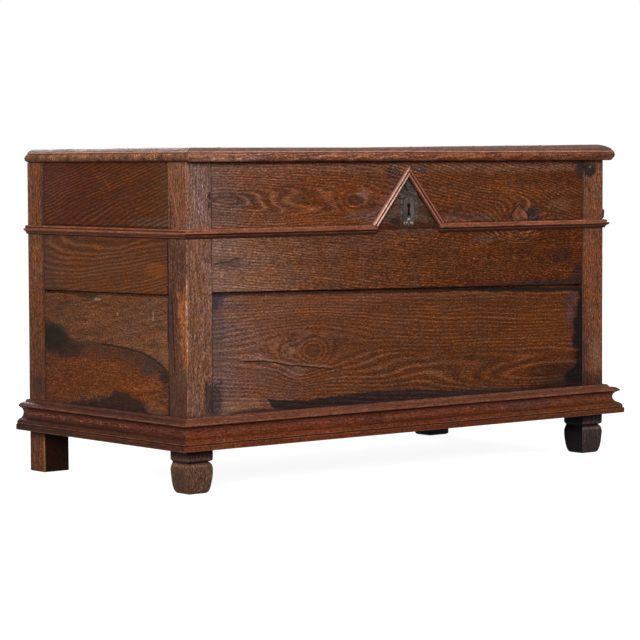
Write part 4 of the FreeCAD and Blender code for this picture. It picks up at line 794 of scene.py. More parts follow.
def mark_near_post(m):
    x, y, z = m.x, m.y, m.z
    left = left_face(m, -HALF)
    # left face: redder above the waist, a smooth worn stripe, cracks and a light streak
    m.over(left * z.ramp(0.62, 0.7) * 0.85, (104, 62, 42), 1.0)
    m.over(left * z.ramp(0.7, 0.62) * 0.85, (81, 48, 34), 1.0)
    m.over(left * m.edge(y, -0.3, -0.285, 0.03) * z.ramp(0.55, 0.5) * 0.5, (62, 42, 36))
    stripe = m.edge(y + 0.35 - (z - 0.309) * 0.125, 0.022, 0.006, 0.03) * z.window(0.285, 0.36, 0.47, 0.545)
    m.over(left * stripe * 0.75, (144, 82, 47), 1.2)
    # pale arris, partly wear and partly a painted highlight
    arris = m.edge((y - FRONT * MM) + (x + HALF * MM), 0.0065, 0.0015, 0.012)
    m.over(arris * z.window(0.27, 0.34, 0.5, 0.58) * 0.6, (192, 146, 114), 0.8)
    streak = y - z.curve([(0.69, -0.325), (0.76, -0.297), (0.847, -0.2715)])
    m.over(left * m.stripe(streak, 0.006, 0.001, 0.008) * z.ramp(0.685, 0.7) * 0.3, (168, 112, 68), 0.3)
    high = m.stripe(y + 0.286, 0.004, 0.001, 0.01) * z.window(0.66, 0.68, 0.74, 0.76)
    m.over(left * high * 0.8, (28, 20, 16), 0.3)
    low = m.stripe(y - z.curve([(0.319, -0.299), (0.498, -0.288)]), 0.005, 0.001, 0.012)
    m.over(left * low * z.window(0.3, 0.32, 0.5, 0.53) * 0.8, (28, 20, 20), 0.3)
    m.dab((-0.3, 0.235), (0.05, 0.05), left * 0.6, (66, 42, 36), 0.7, u=y)
    m.dab((-0.345, 0.3), (0.02, 0.02), left * 0.5, (78, 70, 44), 0.7, u=y)
    # front face: dark stain low on the right, two short checks in the upper part
    front = 1.0 - left
    stain = m.edge(x, -0.7, -0.688, 0.03) * m.edge(z, 0.31, 0.27, 0.05) * m.edge(z, 0.19, 0.21, 0.04)
    m.over(front * stain * 0.85, (52, 42, 42))
    m.dab((-0.676, 0.762), (0.006, 0.01), front * 0.8, (40, 28, 26), 0.6)
    m.dab((-0.676, 0.74), (0.006, 0.01), front * 0.6, (50, 36, 30), 0.6)
    m.over(front * m.edge(x + 0.67, -0.003, 0.0005, 0.004) * 0.55, (60, 44, 42))
    m.over(front * m.edge(z, 0.21, 0.2, 0.02) * 0.5, (58, 40, 34))
    # foot
    m.over(on_foot(m) * 0.85, (76, 52, 45), 1.2)
    m.over(z.ramp(0.086, 0.074) * front * 0.85, (86, 60, 46), 1.0)
    m.over(z.ramp(0.086, 0.074) * left * 0.85, (90, 60, 42), 1.0)
    foot_lines(m)
    m.dab((-0.31, 0.03), (0.03, 0.03), left * 0.6, (58, 44, 36), 0.7, 2.0, u=y)


def mark_right_post(m):
    x, y, z = m.x, m.y, m.z
    m.over(m.edge(x, 0.7, 0.68, 0.03) * z.ramp(0.5, 0.3) * 0.6, (62, 42, 46))
    # the left face darker: painted shade
    m.over(m.edge(x, 0.676, 0.669, 0.02) * 0.6, (54, 38, 36))
    m.over(m.edge(z, 0.245, 0.212, 0.05) * 0.75, (40, 28, 25))
    m.dab((0.722, 0.29), (0.02, 0.045), 0.4, (132, 96, 86), 0.7)
    m.dab((0.695, 0.765), (0.006, 0.01), 0.6, (52, 34, 26), 0.6)
    front = y.ramp(-0.335, -0.345)
    m.dab((0.694, 0.824), (0.027, 0.022), front * 0.95, (36, 30, 27), 0.7, 2.4, 1.2)
    m.dab((0.697, 0.831), (0.0042, 0.0034), front * 0.6, (132, 132, 112), 0.5, keep=0.2)
    # the feet dark: painted shade
    m.over(on_foot(m) * 0.92, (60, 48, 48), 0.9)
    foot_lines(m)
    # the rear foot shares this finish: black on the faces seen from the front, painted shadow
    shaded = left_face(m, HALF - POST_W) * x.ramp(0.745, 0.735) * y.ramp(0.378, 0.372)
    m.over(on_foot(m) * shaded * 0.95, (11, 9, 9), 0.5)


def mark_rear_post(m):
    x, y, z = m.x + HALF * MM, m.y, m.z
    m.over(m.edge(y, 0.318, 0.308, 0.02) * 0.6, (46, 32, 28))
    m.over(m.edge(z, 0.33, 0.24, 0.08) * 0.5, (78, 48, 36))
    m.over(m.edge(z, 0.62, 0.66, 0.06) * z.ramp(0.69, 0.66) * 0.4, (84, 64, 38))
    m.dab((0.335, 0.24), (0.03, 0.03), 0.6, (52, 36, 30), 0.7, 1.5, u=y)
    # foot, its front arris pale with a painted highlight and its front face black with painted shadow
    m.over(on_foot(m) * 0.8, (86, 48, 27), 1.0)
    m.over(on_foot(m) * m.edge(y - 0.3135, 0.0035, 0.001, 0.001) * x.ramp(0.006, 0.003) * 0.6, (150, 92, 60))
    m.over(on_foot(m) * (y - 0.3132).ramp(0.0008, 0.0) * x.ramp(0.003, 0.006) * 0.94, (24, 10, 5))


def bands(m, height, lows, highs):
    """Dark lines of painted shade in a moulding's grooves and under its nose, and pale ones on its arrises,
    partly wear and partly painted highlight: (height, half-width, strength).
    """
    for at, half, strength in lows:
        # painted shade in the grooves and under the nose
        m.over(m.stripe(height - at, half * 1.7, half * 0.5, 0.001) * strength, (38, 18, 14), 0.4)
    for at, half, strength in highs:
        # pale arrises: wear and painted highlight
        worn = m.stripe(height - at, half * 1.7, half * 0.5, 0.0014)
        m.over(worn * (m.rag + 0.45) * strength, (150, 92, 66), 0.6)


def mark_base(hollow, band):
    """Paint of a base run: the colour of its hollow, painted light that offsets the hollow's shade, and of
    the band over it.
    """
    def paint(m):
        h = m.z - BASE_Z * MM
        # the hollow lightened: painted light against its shade
        m.over(m.edge(h, 0.032, 0.05, 0.006) * h.ramp(0.0615, 0.059) * 0.8, hollow, 1.0)
        m.over(h.ramp(0.0612, 0.0625) * 0.9, band, 1.0)
        bands(m, h, ((0.0158, 0.0013, 0.9), (0.03, 0.0012, 0.4), (0.0612, 0.0014, 0.95)),
              ((0.0185, 0.0009, 0.8), (0.066, 0.0016, 0.6), (0.001, 0.001, 1.0)))
        m.dab((0.42, 0.165), (0.1, 0.012), 0.4, (70, 56, 54), 0.7, u=m.x)
        # worn flecks along the hollow of the left run
        flecks = m.stripe(h - 0.046, 0.007, 0.002, 0.02) * m.grain.ramp(0.1, 0.45)
        m.over(flecks * m.x.ramp(-0.752, -0.757) * m.y.ramp(-0.35, -0.25) * 0.7, (140, 80, 60), 0.4)
    return paint


def mark_waist(lows, highs):
    """Paint of a waist run: painted shade in its grooves and pale arrises, partly painted highlight, as for
    bands.
    """
    return lambda m: bands(m, m.z - WAIST_Z * MM, lows, highs)


def mark_vee(m):
    # Painted light and shade: the left leg lit and the right one shaded, a dark line of painted shade in each
    # groove, and painted highlights on the ridges that fade upwards on the left leg.
    left = m.x.ramp(0.0, -0.005)
    high = m.z.ramp(0.73, 0.81)
    for side, turned, bright, leg_light_and_shade, fade in ((-1.0, left, (228, 178, 158), (112, 62, 48), (0.25, 0.5)),
                                             (1.0, 1.0 - left, (158, 98, 76), (84, 40, 30), (0.0, 0.0))):
        across = across_leg(m, side)
        m.over(turned, leg_light_and_shade, 0.7)
        m.over(turned * m.stripe(across - 0.0078, 0.0028, 0.0012, 0.001) * 0.9, (74, 34, 25), 0.4)
        for at, wide, share, faded in ((0.0026, 0.0032, 0.85, fade[0]), (0.0122, 0.0034, 1.0, fade[1])):
            ridge = m.stripe(across - at, wide, wide * 0.4, 0.0012) * share
            m.over(turned * ridge * (1.0 - high * faded), bright, 0.5)


def mark_lid(m):
    x, y, tall = m.x, m.y, m.z - TOP * MM
    corner = (y - LID_Y0 * MM) - (x - LID_X0 * MM)
    left = corner.ramp(0.0, 0.004) * x.ramp(-0.735, -0.75)
    nose = tall.ramp(0.028, 0.024)
    m.over(left * nose * 0.7, (108, 68, 44))
    m.over(left * m.rag.ramp(-0.02, 0.1) * 0.75, (54, 34, 24), 1.6)
    m.over(left * m.rag.ramp(-0.04, -0.14) * 0.6, (138, 88, 50), 1.6)
    # top margin greyer and darker than the nose, a painted reflection; a thin pale line of painted highlight
    # along the arris; painted shade low on the nose
    m.over(tall.ramp(0.0265, 0.0285) * 0.75, (98, 76, 70))
    m.over(m.stripe(tall - 0.0262, 0.0016, 0.0006, 0.001) * 0.7, (196, 140, 112), 0.3)
    m.over(m.stripe(tall - 0.0232, 0.002, 0.0008, 0.002) * 0.45, (66, 38, 28))
    m.over(m.edge(tall, 0.007, 0.001, 0.004) * 0.7, (56, 34, 24))
    # the corner's own arris dark, a seam and painted shade; a darker right end and a paler left one
    mitre = corner.abs().ramp(0.0028, 0.001) * x.ramp(-0.735, -0.745) * tall.ramp(0.034, 0.028)
    m.over(mitre * 0.9, (22, 14, 12), 0.3)
    m.over(x.ramp(0.62, 0.74) * nose * 0.5, (76, 50, 38))
    m.over(m.edge(x + 0.72, 0.16, 0.02, 0.2) * (1.0 - left) * nose * 0.35, (150, 104, 84))


# ---------------------------------------------------------------- finishes
def ends(low, high, *colors):
    """A palette of colours spread evenly from low to high."""
    return [(low + (high - low) * k / (len(colors) - 1), rgb) for k, rgb in enumerate(colors)]


def front_board(level, seed, edges, colors, **looks):
    """Finish of a front board; edges are the heights between which it shows."""
    half = FRONT_LENGTH / 2.0 * MM
    return oak("oak_front_" + level, "x", seed, ends(-0.67, 0.67, *colors), turn=True,
               rect=(-half, half) + edges, outside=(1, -0.335, -0.345), **looks)


def left_board(level, seed, edges, colors, **looks):
    """Finish of a board on the left, its edges as for the front or None."""
    rect = (SIDE_START * MM, (SIDE_START + SIDE_LENGTH) * MM) + edges if edges else None
    return oak("oak_left_" + level, "y", seed, ends(-0.28, 0.31, *colors), turn=True,
               rect=rect, outside=(0, -0.735, -0.745), **looks)


def post(side, seed, colors, **looks):
    """Finish of a post, its colours from the floor up."""
    return oak(f"oak_{side}_post", "z", seed, ends(0.0, 0.85, *colors), **looks)


wrought = iron("iron_wrought", 1)
inside_y = oak("oak_inside_y", "y", 51, ends(-0.8, 0.8, (112, 80, 58), (108, 76, 54), (112, 80, 56)),
               pith=(0.0, 0.3), spacing=6.0)
BROWN = ends(-0.8, 0.8, (98, 60, 42), (94, 56, 37), (92, 53, 34))
plain_x = oak("oak_plain_x", "x", 21, BROWN, pith=(0.2, 0.5), drift=(0.05, 0.03))
plain_y = oak("oak_plain_y", "y", 22, BROWN, pith=(0.1, 0.5), drift=(0.05, 0.03))
base_y = oak("oak_base_y", "y", 32, ends(-0.4, 0.4, (66, 34, 25), (62, 32, 23), (56, 32, 25)),
             pith=(-0.76, 0.24), spacing=4.0, lines=0.3, worn=(118, 70, 52), depth=0.0008,
             paint=mark_base((88, 46, 35), (74, 44, 35)))

# The finish of every node: that of the first words here that its name contains.
FINISHES = {
    # The front boards' colours are greyer and paler at their left ends: painted sheen.
    "front_upper_board": front_board(
        "upper", 1, (0.672, 0.849), [(97, 63, 48), (102, 55, 30), (91, 49, 27), (89, 47, 23), (85, 43, 19)],
        pith=(0.738, -0.289), drift=(-0.02, 0.1), span=(-0.72, -0.1), dip=(-0.08, 0.2), spacing=7.5,
        paint=mark_front_upper, lines=0.58, contrast=(1.0, 1.25),
        knots=((-0.195, 0.745, 0.026, 2.4, 1.8), (0.428, 0.7, 0.044, 3.4, 2.0),
               (-0.412, 0.749, 0.026, 1.8, 5.0))),
    "front_middle_board": front_board(
        "middle", 2, (0.49, 0.7), [(120, 85, 68), (97, 58, 38), (84, 45, 23), (81, 40, 16), (75, 34, 11)],
        pith=(0.42, -0.3), drift=(-0.1, 0.02), spacing=7.0, paint=mark_front_middle, lines=0.5,
        contrast=(1.0, 1.6), knots=((0.41, 0.664, 0.044, 3.2, 2.4),)),
    "front_lower_board": front_board(
        "lower", 3, (0.19, 0.53), [(108, 74, 62), (95, 55, 35), (87, 49, 28), (89, 48, 24), (91, 45, 19)],
        pith=(0.1, -0.22), drift=(-0.02, 0.03), spacing=10.5, paint=mark_front_lower, lines=0.5, thin=0.35,
        streaks=0.5, contrast=(0.95, 1.25),
        knots=((-0.337, 0.351, 0.037, 4.4, 1.45), (-0.4215, 0.353, 0.027, 1.8, 1.35),
               (-0.35, 0.352, 0.056, 0.0, 3.2), (-0.39, 0.288, 0.024, 1.4, 2.2),
               (0.47, 0.25, 0.046, 4.4, 7.5), (-0.1, 0.29, 0.035, 0.8, 3.0))),
    "left_upper_board": left_board(
        "upper", 4, (0.674, 0.849), [(74, 41, 18), (74, 37, 16), (72, 33, 15), (76, 37, 20)],
        pith=(0.55, -0.6), drift=(-0.18, 0.14), spacing=8.0, paint=mark_left_upper, lines=0.6, thin=0.1,
        grime=0.5, contrast=0.85, streaks=0.4),
    "left_middle_board": left_board(
        "middle", 5, (0.505, 0.66), [(87, 48, 26), (88, 50, 26), (88, 50, 27), (85, 50, 32)],
        pith=(0.7, -0.63), drift=(-0.22, 0.12), spacing=8.0, paint=mark_left_middle, lines=0.5, thin=0.1,
        grime=0.5, contrast=0.8, streaks=0.4),
    "left_lower_board": left_board(
        "lower", 6, None, [(94, 60, 42), (94, 58, 38), (93, 57, 35), (86, 51, 33)],
        pith=(0.3, -0.6), drift=(-0.2, 0.0), spacing=12.0, paint=mark_left_lower, lines=0.2, contrast=1.25),
    # greyer and paler towards its top: painted sheen
    "front_left_post": post(
        "near", 11, [(104, 69, 54), (107, 72, 55), (109, 74, 58), (113, 85, 75)], pith=(-0.66, -0.22),
        paint=mark_near_post, worn=(186, 128, 96), streaks=0.5, lines=0.25, contrast=1.15),
    "right_post": post(
        "right", 12, [(105, 62, 42), (107, 64, 41), (114, 68, 45), (110, 70, 48)], pith=(0.6, -0.25),
        paint=mark_right_post, streaks=0.6, lines=0.3, contrast=1.15),
    "rear_left_post": post(
        "rear", 13, [(100, 58, 38), (96, 55, 34), (102, 60, 39), (108, 64, 43)], pith=(-0.68, 0.3),
        paint=mark_rear_post, streaks=0.6, lines=0.3, contrast=1.25),
    "base_moulding_front": oak(
        "oak_base_x", "x", 31, ends(-0.8, 0.8, (96, 48, 28), (89, 42, 24), (89, 43, 24), (91, 49, 27)),
        pith=(-0.36, 0.24), spacing=4.0, lines=0.3, worn=(140, 84, 58), depth=0.0008,
        paint=mark_base((106, 58, 42), (100, 60, 45))),
    "base_moulding": base_y,
    "waist_moulding_front": oak(
        "oak_waist_x", "x", 33, ends(-0.8, 0.8, (98, 56, 40), (98, 56, 40), (92, 50, 34)),
        pith=(-0.35, 0.62), spacing=4.0, worn=(164, 100, 70), lines=0.25,
        paint=mark_waist(((0.0108, 0.0022, 0.85), (0.0026, 0.0022, 0.85)),
                         ((0.018, 0.004, 1.0), (0.0225, 0.0012, 0.9), (0.0072, 0.001, 0.6)))),
    "waist_moulding": oak(
        "oak_waist_y", "y", 34, ends(-0.4, 0.4, (98, 56, 38), (98, 56, 38)),
        pith=(-0.75, 0.62), spacing=4.0, worn=(160, 98, 66), lines=0.25,
        paint=mark_waist(((0.0178, 0.0011, 0.85), (0.0055, 0.0012, 0.5), (0.0004, 0.0014, 0.9)),
                         ((0.0128, 0.003, 0.9), (0.0218, 0.0012, 0.7)))),
    "keyhole_v": oak("oak_vee", "z", 35, ends(0.6, 0.85, (150, 102, 78), (158, 108, 84)), pith=(0.3, -0.35),
                     spacing=4.0, lines=0.2, specular=0.2, paint=mark_vee),
    "plank": oak(
        "oak_lid_x", "x", 41, ends(-0.78, 0.78, (112, 74, 60), (110, 66, 48), (108, 58, 35), (104, 60, 38)),
        pith=(-0.2, 0.95), drift=(0.03, 0.02), spacing=6.0, contrast=1.25, paint=mark_lid, depth=0.001),
    "nails": wrought, "hinge": wrought, "staple": wrought, "rivets": wrought,
    "lock": iron("iron_lock", 3, base=(56, 50, 46)),
    "escutcheon": iron("iron_escutcheon", 2, base=(62, 54, 50), rust=(76, 60, 50), bright=(140, 128, 118),
                       paint=mark_escutcheon),
    "floor": inside_y, "batten": inside_y,
}

for name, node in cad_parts.items():
    low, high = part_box(name)
    plain_oak = plain_x if high[0] - low[0] > high[1] - low[1] else plain_y
    finish = next((finish for words, finish in FINISHES.items() if words in name), plain_oak)
    node.data.materials.clear()
    node.data.materials.append(finish)


# ---------------------------------------------------------------- shapes shared with the model
def outline(start, steps, count=7):
    """Points along lines and three-point arcs, in the model's own terms: (end,) or (middle, end)."""
    points = [np.array(start, float)]
    for step in steps:
        a, end = points[-1], np.array(step[-1], float)
        if len(step) == 1:
            points.append(end)
            continue
        m = np.array(step[0], float)
        u, v = m - a, end - a
        d = 2.0 * (u[0] * v[1] - u[1] * v[0])
        centre = a + np.array([v[1] * (u @ u) - u[1] * (v @ v), u[0] * (v @ v) - v[0] * (u @ u)]) / d
        angle = [math.atan2(*(q - centre)[::-1]) for q in (a, m, end)]
        turn = 1.0 if d > 0 else -1.0
        sweep = ((angle[2] - angle[0]) * turn) % (2.0 * math.pi) * turn
        radius = np.linalg.norm(a - centre)
        for k in range(1, count + 1):
            t = angle[0] + sweep * k / count
            points.append(centre + radius * np.array([math.cos(t), math.sin(t)]))
    return np.array(points)


def densify(points, step):
    """Adds points so that no side of an open outline is longer than step."""
    out = [points[0]]
    for a, b in zip(points[:-1], points[1:]):
        count = max(1, int(math.ceil(np.linalg.norm(b - a) / step)))
        out += [a + (b - a) * k / count for k in range(1, count + 1)]
    return np.array(out)


BASE_OUTLINE = outline((45.0, 0.0), [
    ((45.0, 14.5),), ((41.5, 15.5),), ((41.5, 17.5),), ((40.3, 24.0), (35.0, 28.5)), ((33.5, 30.0),),
    ((20.0, 46.0), (32.0, 61.5)), ((34.0, 62.5),), ((36.5, 65.0), (34.5, 68.0)), ((29.0, 72.5), (21.5, 75.0)),
    ((13.5, 75.5),), ((12.0, 79.5), (9.0, 81.5)), ((9.0, 82.0),)])
WAIST_OUTLINE = outline((4.2, 0.0), [
    ((6.3, 5.4), (12.0, 9.8)), ((14.0, 13.2), (12.0, 16.2)), ((8.4, 17.2),), ((8.4, 18.6),),
    ((8.0, 22.8), (4.2, 24.5))], 5)


def moulding(profile, place, begin, end, step, wave, chips, seed, depth=1.0):
    """A moulding swept along a wall. begin and end give where it is cut at a projection; place maps
    (projection, height, distance) to a point. Returns points, faces and wear."""
    shape = densify(profile, 3.2)
    bend = np.zeros(len(shape))
    side = shape[1:] - shape[:-1]
    side /= np.linalg.norm(side, axis=1, keepdims=True)
    turn = side[:-1, 0] * side[1:, 1] - side[:-1, 1] * side[1:, 0]
    bend[1:-1] = np.clip(turn, 0.0, 1.0)
    bend = np.clip(bend + 0.5 * (np.roll(bend, 1) + np.roll(bend, -1)), 0.0, 1.0)
    out = np.zeros_like(shape)
    out[1:-1] = side[:-1] + side[1:]
    out[0], out[-1] = side[0], side[-1]
    out = np.stack([out[:, 1], -out[:, 0]], 1)
    out /= np.maximum(np.linalg.norm(out, axis=1, keepdims=True), 1e-9)
    low, high = shape[:, 1].min(), shape[:, 1].max()
    shape = np.vstack([shape, [[-depth, high], [-depth, low]]])
    out = np.vstack([out, [[0.0, 0.0], [0.0, 0.0]]])
    bend = np.append(bend, [0.0, 0.0])
    rows = max(2, int((end(0.0) - begin(0.0)) / step))
    s = np.linspace(0.0, 1.0, rows + 1)
    t, h = shape[:, 0], shape[:, 1]
    n = len(shape)
    along = (begin(t)[None, :] * (1.0 - s)[:, None] + end(t)[None, :] * s[:, None]).ravel()
    tt, hh, bb, ox, oh = (np.tile(column, rows + 1) for column in (t, h, bend, out[:, 0], out[:, 1]))
    points = place(tt, hh, along)
    push = wave * rough(points, 0.01, seed, 3) - wave * 0.4
    push = push - np.maximum(rough(points, 0.05, seed + 3, 2) - 0.3, 0.0) * chips * bb * 2.0
    sway = 0.9 * wave * noise(points, 0.0035, seed + 9) * (tt > 0.0)
    points = place(tt + ox * push + sway, hh + oh * push, along)
    index = np.arange((rows + 1) * n).reshape(rows + 1, n)
    after = np.roll(index, -1, axis=1)
    quads = np.stack([index[:-1], index[1:], after[1:], after[:-1]], -1).reshape(-1, 4)
    return oriented(points, [quads, index[:1], index[-1:, ::-1]], bb * 0.9)


# ---------------------------------------------------------------- wall boards
# Each wall's length, the height of its open seam at either end, the seam's gap, and how u along the wall,
# v into it and z up become the model's axes.
SIDES = {
    "front": (FRONT_LENGTH, (510.41, 488.41), 5.0,
              lambda u, v, z: np.stack([u - FRONT_LENGTH / 2.0, v + FRONT, z], 1)),
    "back": (FRONT_LENGTH, (500.91, 500.91), 3.0,
             lambda u, v, z: np.stack([u - FRONT_LENGTH / 2.0, BACK - v, z], 1)),
    "left": (SIDE_LENGTH, (502.11, 495.11), 8.5, lambda u, v, z: np.stack([v - HALF, u + SIDE_START, z], 1)),
    "right": (SIDE_LENGTH, (507.91, 500.91), 6.0, lambda u, v, z: np.stack([HALF - v, u + SIDE_START, z], 1)),
}
LEVELS = {"lower": (125.0, LOWER_SEAM), "middle": (LOWER_SEAM, UPPER_SEAM - 0.03),
          "upper": (UPPER_SEAM + 0.03, TOP)}
BOARD_THICKNESS = 26.0


def wall_board(side, level, seed):
    """One board of a wall, in the wall's own u, v, z, then put in place."""
    length, seam, gap, place = SIDES[side]
    bottom, top = LEVELS[level]

    def seam_height(u):
        return seam[0] + (seam[1] - seam[0]) * u / length

    low, high = (0.4, 0.1, bottom), (length - 0.4, BOARD_THICKNESS, top)
    points, faces = box_grid(stations(low[0], high[0], 2.6, 8.0), stations(low[1], high[1], 2.6, 9.0),
                             stations(low[2], high[2], 2.6, 6.5))
    radius = 1.6 * (1.0 + 0.4 * noise(points, 0.02, seed))
    radius = np.where(np.abs(points[:, 2] - UPPER_SEAM) < 8.0, 0.15, radius)
    p, out, wear = soften(points, low, high, radius)
    ripple = 0.55 * rough(p, (0.0035, 0.02, 0.012), seed + 1, 3)
    ripple = ripple + 0.18 * noise(p, (0.012, 0.05, 0.11), seed + 2)
    ripple = ripple * ease(np.abs(p[:, 2] - UPPER_SEAM), 0.0, 18.0)
    p = p + out * (ripple - 0.35)[:, None] * np.array([1.0, 1.0, 0.3])
    bite = np.maximum(rough(p, (0.03, 0.05, 0.05), seed + 3, 3) - 0.45, 0.0) * 2.2 * ease(wear, 0.15, 0.8)
    bite = bite * (np.abs(p[:, 2] - UPPER_SEAM) > 9.0)
    p = p - out * bite[:, None]
    u, v, z = p.T.copy()
    if level == "upper":
        z = np.where(points[:, 2] == points[:, 2].max(), np.where(out[:, 2] > 0.97, LID_CONTACT, z), z)
    if level == "lower" and side in ("left", "right"):
        # rounded upper corners
        for corner, inward in ((low[0], 1.0), (high[0], -1.0)):
            u, z = round_corner(u, z, (corner, top), (inward, -1.0), 13.0, v < 9.0)
        # the face below a wandering split lies a little deeper
        split = np.interp(u + SIDE_START, *zip((SIDE_START, 308.0), *LEFT_SPLIT))
        split = split + 5.0 * rough(p, (0.02, 0.0, 0.0), seed + 7, 3)
        sunk = ease(z - split, 2.5, -2.5) * (0.6 + 1.8 * ease(z, 200.0, 360.0))
        v = v + np.where(v < 6.0, sunk, 0.0)
    parts = []
    if level == "lower":
        if side == "front":
            # upper arris worn back, more and more towards the right end
            worn_depth = 1.5 + 7.5 * ease(u, 500.0, 1280.0) + 2.2 * rough(p, (0.012, 0.0, 0.0), 77, 3)
            worn_drop = 3.0 + 12.0 * ease(u, 600.0, 1300.0) + 4.0 * rough(p, (0.018, 0.0, 0.0), 78, 3)
            near = ease(LOWER_SEAM - z, np.maximum(worn_drop, 1.5), 0.0) * (v < 9.0)
            v = v + near * np.maximum(worn_depth, 0.0)
        z = z + (seam_height(u) - LOWER_SEAM) * ease(z, 330.0, LOWER_SEAM)
        # the tongue that closes the open seam
        tongue, sides = box_grid(np.linspace(1.0, length - 1.0, 40), (14.0, 17.5, 21.0), (-6.0, gap + 8.0))
        tongue[:, 2] += seam_height(tongue[:, 0])
        parts.append((tongue, sides, np.zeros(len(tongue))))
    elif level == "middle":
        z = z + (seam_height(u) + gap - LOWER_SEAM) * ease(z, 664.0, LOWER_SEAM)
    parts.insert(0, (np.stack([u, v, z], 1), faces, wear * (1.0 if level == "lower" else 0.7)))
    points, faces, wear = joined(parts)
    return oriented(place(*points.T), faces, wear)


for side in SIDES:
    for k, level in enumerate(LEVELS):
        piece(f"{side}_{level}_board", wall_board(side, level, 10 * len(side) + k + ord(side[0])), "carcase")


# ---------------------------------------------------------------- keyhole through the front board
KEYHOLE_R, KEYHOLE_Z = 5.0, 729.0


def keyhole_cutter():
    """A prism of the keyhole's outline."""
    turn = np.linspace(-math.pi / 3.0, 4.0 * math.pi / 3.0, 17)
    head = [(KEYHOLE_R * math.cos(t), KEYHOLE_Z + KEYHOLE_R * math.sin(t)) for t in turn]
    shape = head + [(-2.5, 712.8), (-KEYHOLE_R, 702.0), (KEYHOLE_R, 702.0), (2.5, 712.8)]
    n = len(shape)
    points = np.array([(x, y, z) for y in (FRONT - 8.0, FRONT + 40.0) for x, z in shape])
    index = np.arange(n)
    after = np.roll(index, -1)
    walls = np.stack([index, after, after + n, index + n], 1)
    return oriented(points, [walls, index[None, ::-1], index[None] + n], np.zeros(2 * n))


cutter = add_mesh("keyhole_cutter", *keyhole_cutter())
board = bpy.data.objects["worn_front_upper_board"]
cut = board.modifiers.new("keyhole", "BOOLEAN")
cut.operation = "DIFFERENCE"
cut.object = cutter
cut.solver = "EXACT"
bpy.context.view_layer.update()
cut_mesh = bpy.data.meshes.new_from_object(board.evaluated_get(bpy.context.evaluated_depsgraph_get()))
board.modifiers.clear()
board.data = cut_mesh
bpy.data.objects.remove(cutter)


# ---------------------------------------------------------------- posts and feet
FOOT_HEIGHTS = (0.0, 3.0, 9.0, 22.0, 36.5, 50.0, 64.0, 74.8, 79.5, 82.0, 83.75, 85.5, 89.0, 117.0)
FOOT_INSETS = (13.0, 10.0, 6.5, 3.6, 1.6, 0.5, 0.0, 1.8, 5.4, 9.0, 4.4, 1.4, 0.2, 0.2)
ROUNDED_FOOT = 8.0


def post_mesh(x0, y0, kind, seed):
    """A corner post: worn arrises, and its foot carved, plain or rounded along its lower edges."""
    low, high = (x0, y0, 0.2), (x0 + POST_W, y0 + POST_D, TOP)
    heights = np.concatenate([np.linspace(low[2], 126.0, 90), np.linspace(126.0, TOP - 2.5, 96)[1:],
                              [TOP - 1.0, TOP]])
    points, faces = box_grid(*(stations(a, b, 3.0, 7.0) for a, b in zip(low[:2], high[:2])), heights)
    z = points[:, 2]
    radius = 1.5 * (1.0 + 0.4 * noise(points, (0.02, 0.02, 0.008), seed))
    near = (np.abs(points[:, 0] + HALF) < 20.0) & (np.abs(points[:, 1] - FRONT) < 20.0)
    radius = radius + near * ease(z, 180.0, 320.0) * ease(z, 600.0, 440.0) * 6.0
    radius = np.where(z > BASE_Z, radius, 2.5 if kind == "plain" else 3.5)
    p, out, wear = soften(points, low, high, radius)
    sway = 0.4 * rough(p, (0.01, 0.01, 0.003), seed + 1, 3) - 0.2
    p = p + out * sway[:, None] * np.array([1.0, 1.0, 0.0])
    bite = np.maximum(rough(p, (0.03, 0.03, 0.02), seed + 3, 3) - 0.4, 0.0) * 2.4 * ease(wear, 0.2, 0.8)
    p = p - out * (bite * (z < TOP - 5.0))[:, None]
    x, y, z = p.T.copy()
    z = np.where((points[:, 2] == TOP) & (out[:, 2] > 0.97), LID_CONTACT, z)
    foot = z < BASE_Z
    cx, cy, hx, hy = x0 + POST_W / 2.0, y0 + POST_D / 2.0, POST_W / 2.0, POST_D / 2.0
    inset_x = inset_y = 0.0
    if kind == "carved":
        inset = np.interp(z, FOOT_HEIGHTS, FOOT_INSETS)
        shallow = np.where(z > 68.0, np.minimum(inset, 2.5 + 0.2 * inset), inset)
        wobble = 0.7 * noise(p, (0.02, 0.02, 0.05), seed + 6)
        inset_x = np.where(x < cx, shallow, inset) + wobble
        inset_y = np.where(y > cy, shallow, inset) + wobble
    else:
        y = np.where(foot, BACK - (y0 + POST_D - y) * REAR_D / POST_D, y)
        cy, hy = BACK - REAR_D / 2.0, REAR_D / 2.0
    if kind == "rounded":
        away = 1.0 - np.clip(z / ROUNDED_FOOT, 0.0, 1.0)
        inset_x = inset_y = ROUNDED_FOOT * (1.0 - np.sqrt(1.0 - away ** 2))
    x = np.where(foot, cx + (x - cx) * (hx - inset_x) / hx, x)
    y = np.where(foot, cy + (y - cy) * (hy - inset_y) / hy, y)
    return oriented(np.stack([x, y, z], 1), faces, wear)


for name, x0, y0, kind in (("front_left", -HALF, FRONT, "carved"),
                           ("front_right", HALF - POST_W, FRONT, "carved"),
                           ("rear_left", -HALF, BACK - POST_D, "plain"),
                           ("rear_right", HALF - POST_W, BACK - POST_D, "rounded")):
    piece(name + "_post", post_mesh(x0, y0, kind, 3 * len(name) + ord(name[-2])), "carcase")


# ---------------------------------------------------------------- mouldings
def front_place(bottom):
    """Maps (projection, height, distance along) on the front to a point."""
    return lambda t, h, s: np.stack([s, FRONT - t, bottom + h], 1)


def side_place(bottom, sign):
    """The same on a side; sign is -1 on the left and 1 on the right."""
    return lambda t, h, s: np.stack([sign * (HALF + t), s, bottom + h], 1)


def cut_at(at, slope=0.0):
    """Where a run is cut, at a projection: mitred with a slope, or square."""
    return lambda t: at + slope * np.asarray(t)


LEFT_MITRE, RIGHT_MITRE = cut_at(-HALF, -1.0), cut_at(HALF, 1.0)

